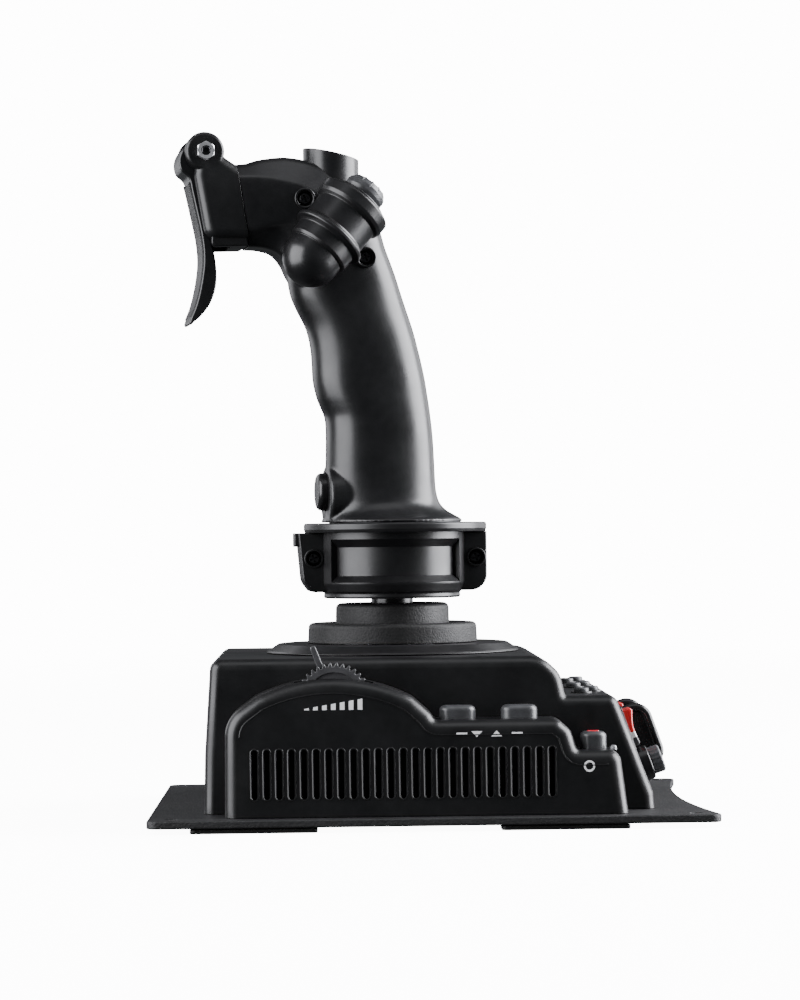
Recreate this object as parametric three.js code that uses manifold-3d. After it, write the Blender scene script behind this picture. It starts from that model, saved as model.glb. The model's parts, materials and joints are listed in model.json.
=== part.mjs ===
// Desktop flight joystick: a weighted base with throttle wheel and buttons, a two-axis gimbal,
// and a canted pistol grip with trigger, hat pod, thumb button and little-finger button.
// Units are millimetres, +Z is up, -X is the trigger side, +X is the user's side, -Y is the left side.
// The origin is the centre of the base plate's footprint, on the surface that the feet rest on.
import * as THREE from "three";
import { mergeVertices } from "three/addons/utils/BufferGeometryUtils.js";
import Module from "manifold-3d";

const wasm = await Module();
wasm.setup();

// ---- driving dimensions ----
const GAP = 0.3; // between touching pieces
const RUN = 0.35; // clearance round anything that slides or turns
const PLATE = { length: 232, width: 200, low: 2.2, top: 5.5, corner: 7, hollow: 8, hole: 2.1 };
const PLATE_HOLES = { x: 106, y: 91 };
const PAD = { front: [-98.5, -47], rear: [27, 79], inner: 86, outer: 98.5 };
const WALL = 3; // base shell
const SHELL = { low: PLATE.top + GAP, top: 69, half: 71, edge: 3 };
const PANEL = { x: 77.8, z: 49.9, endX: 91.1, endZ: 12 }; // slanted control panel, top to bottom
const SHELF = { z: 52.4 };
const CASING = { back: SHELL.half + GAP, face: 93, wall: 2.5, edge: 2.5 };
const VENT = { count: 25, first: -72.3, pitch: 5.01, width: 2.2, low: 13, high: 33 };
const ARCH = { x: -41, top: 61.8, radius: 71.5 };
const FLAP_SHELF = 44.3;
const MODE_SHELF = 31.5;
const WHEEL = { x: -39.9, z: 52.2, radius: 15.1, root: 13.9, teeth: 36, half: 3.5, y: -85, bore: 3.2 };
const LEVER = { reach: 23.9, lean: 21.3, thick: 2.4, width: 5.4 };
const AXIS_X = -14.4; // stick axis at rest
const PIVOT_Z = 68; // gimbal centre
const CLAMP_CANT = 5; // degrees, seen from above
const GRIP_CANT = 9;
const SHAFT = { radius: 9, low: 47, top: 118.5 };
const CLAMP = { low: 92.3, lip: 29.3, body: 31.6, top: 120.5, cavity: 25.5, wing: 40.3, wingHalf: 9 };
const FLANGE = { x: 1.6, radius: 39.8, low: 120.8, top: 124.6 };
const GRIP_WALL = 3;
const HEAD_HALF = 17;
const TRIGGER_PIVOT = { x: -81, z: 282.5 };
const EAR = 8;
const CHEEK_INNER = 11.8;
const THUMB = { x: -24.7, radius: 11.9, z: 283.1, slope: 12.4 };
const PINKY = { z: 138.1, radius: 8.1, front: -32.6, boss: -28.6, half: 12 };
const HAT = { lip: 12.8, lipTop: 33.2, recess: 10.2, stem: 3.2, cap: 8.6, low: 33.4, top: 40 };
const POD = { x: -38.4, y: -32.2, z: 236, rise: 50, lean: 8 };
const HEAD_SCREWS = [[-38.6, 262.7], [-12.6, 237.7]];
const CLAMP_SCREWS = [-34.4, 35.6];
const CLAMP_SCREW_Z = 109.5;

// ---- materials ----
const finish = (color, roughness, metalness = 0) =>
  new THREE.MeshStandardMaterial({ color, roughness, metalness });
const housingBlack = finish(0x17181a, 0.5);
const gripBlack = finish(0x1a1b1d, 0.38);
const plateBlack = finish(0x202124, 0.6);
const buttonGrey = finish(0x2c2d30, 0.5);
const rubber = finish(0x161616, 0.9);
const steel = finish(0x9a9da1, 0.35, 1);
const darkSteel = finish(0x2a2b2d, 0.4, 1);
const brass = finish(0xb08d4a, 0.35, 1);
const red = finish(0xb3171c, 0.4);
const board = finish(0x14502f, 0.6);
const white = finish(0xd8d8d2, 0.5);

// ---- geometry helpers ----
const radians = THREE.MathUtils.degToRad;

// A closed geometry as a manifold-3d solid that faces outwards.
function solid(geometry) {
  const bare = geometry.index ? geometry.toNonIndexed() : geometry.clone();
  bare.deleteAttribute("normal");
  bare.deleteAttribute("uv");
  const merged = mergeVertices(bare, 1e-4);
  const triVerts = new Uint32Array(merged.index.array);
  const vertProperties = merged.attributes.position.array;
  const made = new wasm.Manifold(new wasm.Mesh({ numProp: 3, vertProperties, triVerts }));
  if (made.volume() > 0) return made;
  return new wasm.Manifold(new wasm.Mesh({ numProp: 3, vertProperties, triVerts: triVerts.reverse() }));
}

function geometryOf(made) {
  const mesh = made.getMesh();
  const geometry = new THREE.BufferGeometry();
  geometry.setAttribute("position", new THREE.BufferAttribute(mesh.vertProperties, 3));
  geometry.setIndex(new THREE.BufferAttribute(mesh.triVerts, 1));
  geometry.computeVertexNormals();
  return geometry;
}

const join = (first, ...rest) => rest.reduce((sum, next) => sum.add(next), first);
const cut = (body, ...tools) => tools.reduce((left, tool) => left.subtract(tool), body);

// A straight-sided outline whose corners are rounded: points are [x, y, corner radius].
function roundedShape(points) {
  const shape = new THREE.Shape();
  points.forEach(([x, y, radius = 0], i) => {
    const corner = new THREE.Vector2(x, y);
    const before = new THREE.Vector2(...points[(i + points.length - 1) % points.length].slice(0, 2));
    const after = new THREE.Vector2(...points[(i + 1) % points.length].slice(0, 2));
    const towards = (other) => {
      const reach = Math.min(radius, corner.distanceTo(other) * 0.49);
      return corner.clone().add(other.sub(corner).setLength(reach));
    };
    const start = radius ? towards(before) : corner;
    const end = radius ? towards(after) : corner;
    if (i === 0) shape.moveTo(start.x, start.y);
    else shape.lineTo(start.x, start.y);
    if (radius) shape.quadraticCurveTo(x, y, end.x, end.y);
  });
  shape.closePath();
  return shape;
}

// A shape's points without those that are closer to the one before than a spacing.
function spacedPoints(shape, spacing, divisions = 3) {
  const kept = [];
  for (const point of shape.getPoints(divisions))
    if (!kept.length || point.distanceTo(kept.at(-1)) > spacing) kept.push(point);
  if (kept.at(-1).distanceTo(kept[0]) < spacing) kept.pop();
  return kept;
}

// A rounded outline with no two points closer than a spacing.
const spacedShape = (points, spacing) =>
  new THREE.Shape(spacedPoints(roundedShape(points), spacing));

// The points of a shape, moved inwards by a distance.
function insetPoints(shape, distance) {
  const points = spacedPoints(shape, 0.5);
  if (THREE.ShapeUtils.isClockWise(points)) points.reverse();
  return points.map((point, i) => {
    const before = point.clone().sub(points[(i + points.length - 1) % points.length]).normalize();
    const after = points[(i + 1) % points.length].clone().sub(point).normalize();
    const inward = new THREE.Vector2(-before.y - after.y, before.x + after.x).normalize();
    const stretch = 1 / Math.max(0.4, inward.dot(new THREE.Vector2(-after.y, after.x)));
    return point.clone().addScaledVector(inward, distance * stretch);
  });
}

// An outline in X and Z, carried along Y from yLow to yHigh, with edges rounded by edge.
function prismY(shape, yLow, yHigh, edge = 0, segments = 3) {
  const made = new THREE.ExtrudeGeometry(shape, {
    depth: yHigh - yLow - 2 * edge,
    curveSegments: segments,
    bevelEnabled: edge > 0,
    bevelThickness: edge,
    bevelSize: edge,
    bevelOffset: -edge,
    bevelSegments: 1,
  });
  return solid(made.rotateX(Math.PI / 2).translate(0, yHigh - edge, 0));
}

// An outline in X and Y, carried up from zLow to zHigh.
function prismZ(shape, zLow, zHigh, edge = 0, segments = 3) {
  const made = new THREE.ExtrudeGeometry(shape, {
    depth: zHigh - zLow - 2 * edge,
    curveSegments: segments,
    bevelEnabled: edge > 0,
    bevelThickness: edge,
    bevelSize: edge,
    bevelOffset: -edge,
    bevelSegments: 1,
  });
  return solid(made.translate(0, 0, zLow + edge));
}

// A profile of [radius, height] turned round the Z axis.
function turned(profile, segments = 30) {
  const points = profile.map(([r, h]) => new THREE.Vector2(r, h));
  return solid(new THREE.LatheGeometry(points, segments).rotateX(Math.PI / 2));
}

const disc = (radius, low, high, segments = 24) =>
  turned([[0, low], [radius, low], [radius, high], [0, high]], segments);
const ring = (inner, outer, low, high, segments = 24) =>
  turned([[inner, low], [outer, low], [outer, high], [inner, high], [inner, low]], segments);
const alongX = (made) => made.rotate([0, 90, 0]);
const alongY = (made) => made.rotate([-90, 0, 0]);

function block(low, high) {
  const size = high.map((value, i) => value - low[i]);
  const middle = high.map((value, i) => (value + low[i]) / 2);
  return solid(new THREE.BoxGeometry(...size).translate(...middle));
}

// A round bar along a curve.
function bar(curve, radius, steps, sides = 8) {
  const section = new THREE.Shape();
  section.absarc(0, 0, radius, 0, 2 * Math.PI);
  return solid(
    new THREE.ExtrudeGeometry(section, { extrudePath: curve, steps, curveSegments: sides / 2 }),
  );
}

// Oval sections stacked from the bottom up: each is { z, front, back, half }.
function stacked(sections, grow = 0, sides = 20) {
  const position = [];
  const index = [];
  sections.forEach(({ z, front, back, half }) => {
    for (let i = 0; i < sides; i++) {
      const turn = (2 * Math.PI * i) / sides;
      const c = Math.cos(turn);
      const s = Math.sin(turn);
      const soft = (value) => Math.sign(value) * Math.abs(value) ** 0.88;
      position.push((front + back) / 2 + ((back - front) / 2 + grow) * soft(c));
      position.push((half + grow) * soft(s), z);
    }
  });
  const lowCentre = position.length / 3;
  position.push((sections[0].front + sections[0].back) / 2, 0, sections[0].z);
  const last = sections.at(-1);
  position.push((last.front + last.back) / 2, 0, last.z);
  for (let k = 0; k < sections.length; k++) {
    for (let i = 0; i < sides; i++) {
      const here = k * sides + i;
      const next = k * sides + ((i + 1) % sides);
      if (k === 0) index.push(lowCentre, next, here);
      if (k === sections.length - 1) index.push(lowCentre + 1, here, next);
      else index.push(here, next, here + sides, next, next + sides, here + sides);
    }
  }
  const geometry = new THREE.BufferGeometry();
  geometry.setAttribute("position", new THREE.Float32BufferAttribute(position, 3));
  geometry.setIndex(index);
  return solid(geometry);
}

// ---- scene graph ----
const joystick = new THREE.Group();
const stick = new THREE.Group(); // everything above the gimbal, on the stick axis
stick.position.set(AXIS_X, 0, 0);
joystick.add(stick);
const clamp = new THREE.Group();
clamp.rotation.z = radians(CLAMP_CANT);
stick.add(clamp);
const grip = new THREE.Group();
grip.rotation.z = radians(GRIP_CANT);
stick.add(grip);

function piece(name, made, material, parent = joystick) {
  const mesh = new THREE.Mesh(geometryOf(made), material.clone());
  mesh.name = name;
  parent.add(mesh);
  return mesh;
}

// ---- base plate and feet ----
function basePlate() {
  const { length, width, corner, hollow } = PLATE;
  const x = length / 2;
  const y = width / 2;
  const shape = new THREE.Shape();
  shape.moveTo(-x + corner, -y);
  shape.lineTo(x - corner, -y);
  shape.quadraticCurveTo(x, -y, x, -y + corner);
  shape.quadraticCurveTo(x - 2 * hollow, 0, x, y - corner);
  shape.quadraticCurveTo(x, y, x - corner, y);
  shape.lineTo(-x + corner, y);
  shape.quadraticCurveTo(-x, y, -x, y - corner);
  shape.lineTo(-x, -y + corner);
  shape.quadraticCurveTo(-x, -y, -x + corner, -y);
  const holes = [-1, 1].flatMap((side) =>
    [-1, 1].map((end) =>
      disc(PLATE.hole, 0, 10, 12).translate([end * PLATE_HOLES.x, side * PLATE_HOLES.y, 0]),
    ),
  );
  return cut(prismZ(shape, PLATE.low, PLATE.top, 0, 10), ...holes);
}
piece("base_plate", basePlate(), plateBlack);

for (const [side, word] of [[-1, "left"], [1, "right"]]) {
  for (const end of ["front", "rear"]) {
    const [x0, x1] = PAD[end];
    const [y0, y1] = side < 0 ? [-PAD.outer, -PAD.inner] : [PAD.inner, PAD.outer];
    const shape = roundedShape([[x0, y0, 2], [x1, y0, 2], [x1, y1, 2], [x0, y1, 2]]);
    piece(`foot_pad_${end}_${word}`, prismZ(shape, 0, PLATE.low - GAP, 0, 2), rubber);
  }
}

// ---- base shell ----
const slope = new THREE.Vector2(PANEL.endX - PANEL.x, PANEL.endZ - PANEL.z).normalize();
const panelTurn = THREE.MathUtils.radToDeg(Math.atan2(slope.x, -slope.y));

// Moves a solid made on the Z axis so that it stands on the control panel, a distance down it.
function onPanel(made, down, y) {
  const x = PANEL.x + slope.x * down;
  const z = PANEL.z + slope.y * down;
  return made.rotate([0, 90 - panelTurn, 0]).translate([x, y, z]);
}

const shellShape = spacedShape([
  [-94, -6],
  [-93.2, 30, 20],
  [-90, SHELL.top, 7],
  [43, SHELL.top, 12],
  [52.5, 60, 8],
  [55.2, SHELF.z],
  [PANEL.x - 2, SHELF.z, 3.5],
  [PANEL.endX, PANEL.endZ, 4],
  [92.4, -6],
], 1);
const ROCKERS = [["left", -42], ["centre", 0], ["right", 42]];
const ROCKER = { down: 13.6, length: 16, width: 10, proud: 5.2, deep: 3, pivot: 0.5 };
const KNOBS = [["left", -42], ["right", 42]];
const KNOB = { down: 30, shaft: 2.2, skirt: 7.4, skirtHigh: 5, cap: 5.8, high: 10 };
const SHELF_BUTTON = { radius: 3.2, low: 46, top: 54.6 };
const SHELF_BUTTONS = [-45, 2, 47].flatMap((y) => [[63.5, y], [68.6, y + 14]]);
const COLLAR = { inner: 31, outer: 36.3, low: 73.3, top: 80.9 };
const GLAND = { z: 20, radius: 4 };

function baseShell() {
  const outer = prismY(shellShape, -SHELL.half, SHELL.half, SHELL.edge);
  const inner = new THREE.Shape(insetPoints(shellShape, WALL));
  const hollow = prismY(inner, -SHELL.half + WALL, SHELL.half - WALL);
  const rockerHole = { x: ROCKER.width / 2 + RUN, l: ROCKER.length / 2 + 0.7 };
  return cut(
    outer,
    hollow,
    block([-120, -120, -20], [120, 120, SHELL.low]),
    disc(COLLAR.inner, 60, 80, 30).translate([AXIS_X, 0, 0]),
    alongX(disc(GLAND.radius + GAP, -110, -80, 16)).translate([0, 0, GLAND.z]),
    ...ROCKERS.map(([, y]) =>
      onPanel(block([-rockerHole.l, -rockerHole.x, -9], [rockerHole.l, rockerHole.x, 9]), ROCKER.down, y),
    ),
    ...KNOBS.map(([, y]) => onPanel(disc(KNOB.shaft + RUN, -9, 9, 12), KNOB.down, y)),
    ...SHELF_BUTTONS.map(([x, y]) =>
      disc(SHELF_BUTTON.radius + RUN, 44, 60, 12).translate([x, y, 0]),
    ),
  );
}
piece("base_shell", baseShell(), housingBlack);

// ---- side casings ----
function archPoint(x) {
  return ARCH.top - ARCH.radius + Math.sqrt(ARCH.radius ** 2 - (x - ARCH.x) ** 2);
}
const archXs = [-75, -66, -56, -46, -36, -26, -16, -8];
const casingShape = spacedShape([
  [-84.6, -4],
  [-84.2, 44, 12],
  ...archXs.map((x) => [x, archPoint(x), 2]),
  [-0.5, 46.5, 3],
  [0, FLAP_SHELF, 1],
  [50.5, FLAP_SHELF, 4],
  [55.9, 39.5, 3],
  [58.2, MODE_SHELF, 1],
  [75.6, MODE_SHELF, 4],
  [80.2, -4],
], 1);
const FLAPS = [["front", 10.2], ["rear", 35.3]];
const FLAP = { y: -82, length: 14.8, width: 9.4, low: 38, top: 49.8 };
const MODE = { x: 65.4, length: 10.8, width: 9.4, low: 25.5, top: 38.6 };

// A button with round ends, or its hole when it is grown.
function pill(length, width, low, top, grow = 0, edge = 0) {
  const x = length / 2 + grow;
  const y = width / 2 + grow;
  const r = y * 0.9;
  return prismZ(roundedShape([[-x, -y, r], [x, -y, r], [x, y, r], [-x, y, r]]), low, top, edge, 3);
}

function casing(side) {
  const outer = prismY(casingShape, -CASING.face, -CASING.back + 6, CASING.edge);
  const inner = new THREE.Shape(insetPoints(casingShape, CASING.wall));
  const hollow = prismY(inner, -CASING.face + CASING.wall, -CASING.back + 6);
  const tools = [
    hollow,
    block([-120, -CASING.back, -20], [120, 0, 100]),
    block([-120, -120, -20], [120, 0, SHELL.low]),
  ];
  for (let i = 0; i < VENT.count; i++) {
    const x = VENT.first + i * VENT.pitch;
    const half = VENT.width / 2;
    tools.push(block([x - half, -CASING.face - 1, VENT.low], [x + half, -CASING.face + 4, VENT.high]));
  }
  if (side < 0) {
    const reach = WHEEL.radius + 1;
    const half = WHEEL.half + 0.7;
    tools.push(
      block([WHEEL.x - reach, WHEEL.y - half, WHEEL.z], [WHEEL.x + reach, WHEEL.y + half, 70]),
      ...FLAPS.map(([, x]) =>
        pill(FLAP.length, FLAP.width, FLAP.low, 60, RUN).translate([x, FLAP.y, 0]),
      ),
      pill(MODE.length, MODE.width, MODE.low, 60, RUN).translate([MODE.x, FLAP.y, 0]),
    );
  }
  const made = cut(outer, ...tools);
  return side < 0 ? made : made.mirror([0, 1, 0]);
}
piece("side_casing_left", casing(-1), housingBlack);
piece("side_casing_right", casing(1), housingBlack);

// ---- throttle ----
function throttleWheel() {
  const outline = new THREE.Shape();
  for (let i = 0; i < 2 * WHEEL.teeth; i++) {
    const turn = (Math.PI * (i + 0.5)) / WHEEL.teeth;
    const r = i % 2 ? WHEEL.root : WHEEL.radius;
    const place = [r * Math.cos(turn), r * Math.sin(turn)];
    if (i === 0) outline.moveTo(...place);
    else outline.lineTo(...place);
  }
  outline.closePath();
  const wheel = prismY(outline, -WHEEL.half, WHEEL.half);
  const half = LEVER.thick / 2;
  const lever = block(
    [-half, -LEVER.width / 2, WHEEL.bore + 3],
    [half, LEVER.width / 2, LEVER.reach],
  ).rotate([0, -LEVER.lean, 0]);
  const bore = alongY(disc(WHEEL.bore, -20, 20, 16));
  return cut(join(wheel, lever), bore).translate([WHEEL.x, WHEEL.y, WHEEL.z]);
}
piece("throttle_wheel", throttleWheel(), buttonGrey);

function throttleSensor() {
  const body = alongY(disc(6.5, WHEEL.y + WHEEL.half + 1.5, -CASING.back - GAP, 20));
  const spindle = alongY(disc(WHEEL.bore - 0.3, WHEEL.y - WHEEL.half, -76, 16));
  return join(body, spindle).translate([WHEEL.x, 0, WHEEL.z]);
}
piece("throttle_sensor", throttleSensor(), steel);

// ---- buttons on the left casing ----
for (const [word, x] of FLAPS) {
  const cap = pill(FLAP.length, FLAP.width, FLAP.low, FLAP.top, 0, 1.4);
  piece(`flap_button_${word}`, cap.translate([x, FLAP.y, 0]), buttonGrey);
}
const modeCap = pill(MODE.length, MODE.width, MODE.low, MODE.top, 0, 1.4);
piece("mode_button", modeCap.translate([MODE.x, FLAP.y, 0]), buttonGrey);

// ---- shelf buttons ----
SHELF_BUTTONS.forEach(([x, y], i) => {
  const { radius, low, top } = SHELF_BUTTON;
  const cap = turned([[0, low], [radius, low], [radius, top - 0.8], [radius - 0.8, top], [0, top]], 12);
  piece(`shelf_button_${i + 1}`, cap.translate([x, y, 0]), buttonGrey);
});

// ---- control panel: rockers, knobs and guards ----
function rocker() {
  const half = ROCKER.length / 2;
  const shape = roundedShape([
    [-half, -ROCKER.deep, 1],
    [half, -ROCKER.deep, 1],
    [half, 3.4, 1],
    [0, 2.6, 6],
    [-half, ROCKER.proud, 1],
  ]);
  return prismY(shape, -ROCKER.width / 2, ROCKER.width / 2);
}
for (const [word, y] of ROCKERS) piece(`rocker_${word}`, onPanel(rocker(), ROCKER.down, y), red);

for (const [word, y] of KNOBS) {
  const made = turned([
    [0, -8],
    [KNOB.shaft, -8],
    [KNOB.shaft, GAP],
    [KNOB.skirt, GAP],
    [KNOB.skirt, KNOB.skirtHigh - 0.6],
    [KNOB.skirt - 0.6, KNOB.skirtHigh],
    [KNOB.cap, KNOB.skirtHigh],
    [KNOB.cap, KNOB.high - 0.7],
    [KNOB.cap - 0.7, KNOB.high],
    [0, KNOB.high],
  ], 24);
  piece(`knob_${word}`, onPanel(made, KNOB.down, y), buttonGrey);
}

// A guard is a round bow with a thin web inside it.
const GUARD = { first: 8, last: 32.5, proud: 11, radius: 2, web: 0.9, y: 21, corner: 7 };
function guard() {
  const { first, last, proud, corner } = GUARD;
  const flat = (down, out) => new THREE.Vector3(down - first, 0, out);
  const path = new THREE.CurvePath();
  path.add(new THREE.LineCurve3(flat(first, GAP), flat(first, proud - corner)));
  path.add(new THREE.QuadraticBezierCurve3(
    flat(first, proud - corner), flat(first, proud), flat(first + corner, proud)));
  path.add(new THREE.LineCurve3(flat(first + corner, proud), flat(last - corner, proud)));
  path.add(new THREE.QuadraticBezierCurve3(
    flat(last - corner, proud), flat(last, proud), flat(last, proud - corner)));
  path.add(new THREE.LineCurve3(flat(last, proud - corner), flat(last, GAP)));
  const web = roundedShape([[0, GAP], [last - first, GAP], [last - first, proud, corner], [0, proud, corner]]);
  return join(bar(path, GUARD.radius, 20, 6), prismY(web, -GUARD.web, GUARD.web));
}
for (const [word, side] of [["left", -1], ["right", 1]])
  piece(`switch_guard_${word}`, onPanel(guard(), GUARD.first, side * GUARD.y), housingBlack);

// ---- cable gland on the trigger side ----
function cableGland() {
  const profile = [[2.2, -94.8], [6, -94.8], [6, -93.6], [GLAND.radius, -93.6]];
  profile.push([GLAND.radius, -86], [2.2, -86], [2.2, -94.8]);
  return alongX(turned(profile, 16)).translate([0, 0, GLAND.z]);
}
piece("cable_gland", cableGland(), rubber);

// ---- inside the base ----
piece("ballast_weight", block([-78, -56, 6.1], [78, 56, 10.1]), darkSteel);
piece("circuit_board", block([16, -46, 17], [72, 46, 18.6]), board);

class Helix extends THREE.Curve {
  constructor(radius, low, high, turns) {
    super();
    Object.assign(this, { radius, low, high, turns });
  }
  getPoint(t, target = new THREE.Vector3()) {
    const turn = 2 * Math.PI * this.turns * t;
    const z = this.low + (this.high - this.low) * t;
    return target.set(this.radius * Math.cos(turn), this.radius * Math.sin(turn), z);
  }
}
const centring = bar(new Helix(13, 12, 37, 4), 1.2, 40, 6);
piece("centring_spring", centring.translate([AXIS_X, 0, 0]), steel);

// ---- pivot bezel, rubber collar and gimbal ----
piece("pivot_bezel", turned([
  [COLLAR.inner + GAP, SHELL.top + GAP],
  [54.5, SHELL.top + GAP],
  [53.2, SHELL.top + 1.2],
  [48.9, COLLAR.low - GAP],
  [COLLAR.inner + GAP, COLLAR.low - GAP],
  [COLLAR.inner + GAP, SHELL.top + GAP],
], 36).translate([AXIS_X, 0, 0]), housingBlack);

piece("boot_collar", turned([
  [COLLAR.inner, COLLAR.low],
  [COLLAR.outer, COLLAR.low],
  [COLLAR.outer, COLLAR.top - 2.5],
  [COLLAR.outer - 0.8, COLLAR.top - 0.8],
  [COLLAR.outer - 2.5, COLLAR.top],
  [COLLAR.inner, COLLAR.top],
  [COLLAR.inner, COLLAR.low],
], 36).translate([AXIS_X, 0, 0]), rubber);

const FRAME = { inner: 23.8, outer: 30.6, low: 52, top: 71.5 };
const PIN = { radius: 2 };
function gimbalFrame() {
  const body = ring(FRAME.inner, FRAME.outer, FRAME.low, FRAME.top);
  const rim = ring(FRAME.outer - 1, 38, 62, 65.6);
  const bore = alongY(disc(PIN.radius + RUN, -40, 40, 12)).translate([0, 0, PIVOT_Z]);
  return cut(join(body, rim), bore).translate([AXIS_X, 0, 0]);
}
piece("gimbal_frame", gimbalFrame(), steel);

const RING = { inner: 13.5, outer: 18, half: 4 };
const gimbalRing = cut(
  ring(RING.inner, RING.outer, PIVOT_Z - RING.half, PIVOT_Z + RING.half),
  alongY(disc(PIN.radius + GAP, -40, 40, 12)).translate([0, 0, PIVOT_Z]),
  alongX(disc(PIN.radius + RUN, -40, 40, 12)).translate([0, 0, PIVOT_Z]),
);
piece("gimbal_ring", gimbalRing.translate([AXIS_X, 0, 0]), steel);
for (const [word, side] of [["left", -1], ["right", 1]]) {
  const near = side < 0 ? -29.5 : 14.2;
  const pin = alongY(disc(PIN.radius, near, near + 15.3, 12));
  piece(`pitch_pin_${word}`, pin.translate([AXIS_X, 0, PIVOT_Z]), brass);
}

// ---- shaft and what turns with it ----
const crossPin = alongX(disc(PIN.radius + GAP, -40, 40, 12)).translate([0, 0, PIVOT_Z]);
piece("stick_shaft", cut(disc(SHAFT.radius, SHAFT.low, SHAFT.top), crossPin), darkSteel, stick);
for (const [word, near] of [["front", -17.6], ["rear", 3]]) {
  const pin = alongX(disc(PIN.radius, near, near + 14.6, 12));
  piece(`roll_pin_${word}`, pin.translate([0, 0, PIVOT_Z]), brass, stick);
}
const BORE = SHAFT.radius + GAP;
piece("dust_cap", turned([
  [BORE, 81.2],
  [24.5, 81.2],
  [24.5, 86.6],
  [23.8, 88.2],
  [22.3, 88.8],
  [BORE, 88.8],
  [BORE, 81.2],
], 30), rubber, stick);
piece("centring_cam", ring(BORE, 17, 46.5, 50), steel, stick);
piece("twist_bearing", ring(BORE, 13, 97, 103, 24), brass, stick);

// ---- clamp housing: two halves bolted round the shaft ----
function clampBody() {
  const body = turned([
    [SHAFT.radius + 0.45, CLAMP.low],
    [CLAMP.lip - 0.6, CLAMP.low],
    [CLAMP.lip, CLAMP.low + 0.6],
    [CLAMP.lip, 94.8],
    [CLAMP.body, 97.2],
    [CLAMP.body, CLAMP.top],
    [CLAMP.cavity, CLAMP.top],
    [CLAMP.cavity, 96.3],
    [SHAFT.radius + 0.45, 96.3],
    [SHAFT.radius + 0.45, CLAMP.low],
  ]);
  const wings = prismY(
    roundedShape([
      [-39.3, 94.8, 6],
      [CLAMP.wing, 94.8, 6],
      [CLAMP.wing, CLAMP.top],
      [-CLAMP.wing - 0.6, CLAMP.top],
    ]),
    -CLAMP.wingHalf,
    CLAMP.wingHalf,
  );
  const tab = block([-42.4, -4, 114.6], [-39, 4, CLAMP.top]);
  const room = disc(CLAMP.cavity, 96.3, 130).add(disc(SHAFT.radius + 0.45, 80, 130));
  const windows = ring(28.3, 40, 100.8, 115.6).intersect(block([-26, -60, 90], [26, 60, 130]));
  const screwWays = CLAMP_SCREWS.flatMap((x) => [
    alongY(disc(1.9, -30, 30, 10)).translate([x, 0, CLAMP_SCREW_Z]),
    alongY(disc(3.3, -30, -CLAMP.wingHalf + 2.5, 16)).translate([x, 0, CLAMP_SCREW_Z]),
  ]);
  return cut(join(body, wings, tab), room, windows, ...screwWays);
}
const clampWhole = clampBody();
const seam = GAP / 2;
const leftHalf = (made) => made.intersect(block([-150, -150, 0], [150, -seam, 400]));
const rightHalf = (made) => made.intersect(block([-150, seam, 0], [150, 150, 400]));
piece("clamp_half_left", leftHalf(clampWhole), housingBlack, clamp);
piece("clamp_half_right", rightHalf(clampWhole), housingBlack, clamp);

// A pan-head screw along Y, its head towards -Y.
function screw(head, headHigh, shank, length) {
  const made = turned([
    [0, 0],
    [head, 0.5],
    [head, headHigh],
    [shank, headHigh],
    [shank, length],
    [0, length],
  ], 12);
  return alongY(made);
}
for (const [word, i] of [["front", 0], ["rear", 1]]) {
  const made = screw(2.9, 2, 1.5, 14).translate([CLAMP_SCREWS[i], -CLAMP.wingHalf + 0.2, CLAMP_SCREW_Z]);
  piece(`clamp_screw_${word}`, made, darkSteel, clamp);
}

// ---- grip flange ----
piece("grip_flange", turned([
  [12, FLANGE.low],
  [FLANGE.radius - 1, FLANGE.low],
  [FLANGE.radius, FLANGE.low + 1.2],
  [FLANGE.radius, FLANGE.top - 1.2],
  [FLANGE.radius - 1.2, FLANGE.top],
  [12, FLANGE.top],
  [12, FLANGE.low],
], 36).translate([FLANGE.x, 0, 0]), housingBlack, grip);

// ---- grip shells ----
const GRIP_SECTIONS = [
  { z: 124.9, front: -30.5, back: 30.7, half: 30 },
  { z: 127, front: -29.6, back: 28.8, half: 28 },
  { z: 129.2, front: -28.8, back: 24.8, half: 23.5 },
  { z: 133.7, front: -28.4, back: 20.6, half: 20 },
  { z: 144, front: -28.2, back: 19, half: 18.6 },
  { z: 157, front: -28.1, back: 18.4, half: 18.4 },
  { z: 168, front: -28, back: 17.6, half: 18.4 },
  { z: 178.5, front: -31.8, back: 16.2, half: 18.6 },
  { z: 187, front: -33.5, back: 14.8, half: 18.6 },
  { z: 198, front: -34.2, back: 12.5, half: 18.4 },
  { z: 207, front: -35.8, back: 10.2, half: 18 },
  { z: 216, front: -40, back: 7.3, half: 17.6 },
  { z: 226, front: -43.6, back: 4.2, half: 17.2 },
  { z: 236, front: -46.2, back: 0.8, half: 16.8 },
];
const headShape = spacedShape([
  [-43.8, 226],
  [-45.5, 237, 9],
  [-51.5, 242.6, 8],
  [-62.2, 245.2],
  [-66.9, 278.4, 1],
  [-57.5, 280.6, 6],
  [-44, 282, 8],
  [-36, 280.2, 5],
  [-13, 271.6, 8],
  [-4.8, 254, 10],
  [-1.6, 243, 8],
  [4.2, 226],
], 1.5);
const podTurn = new THREE.Quaternion().setFromUnitVectors(
  new THREE.Vector3(0, 0, 1),
  new THREE.Vector3(
    Math.cos(radians(POD.rise)) * Math.cos(radians(POD.lean)),
    Math.sin(radians(POD.lean)),
    Math.sin(radians(POD.rise)) * Math.cos(radians(POD.lean)),
  ),
);
const podMatrix = new THREE.Matrix4().compose(
  new THREE.Vector3(POD.x, POD.y, POD.z),
  podTurn,
  new THREE.Vector3(1, 1, 1),
);
const onPod = (made) => made.transform(podMatrix.toArray());

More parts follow.
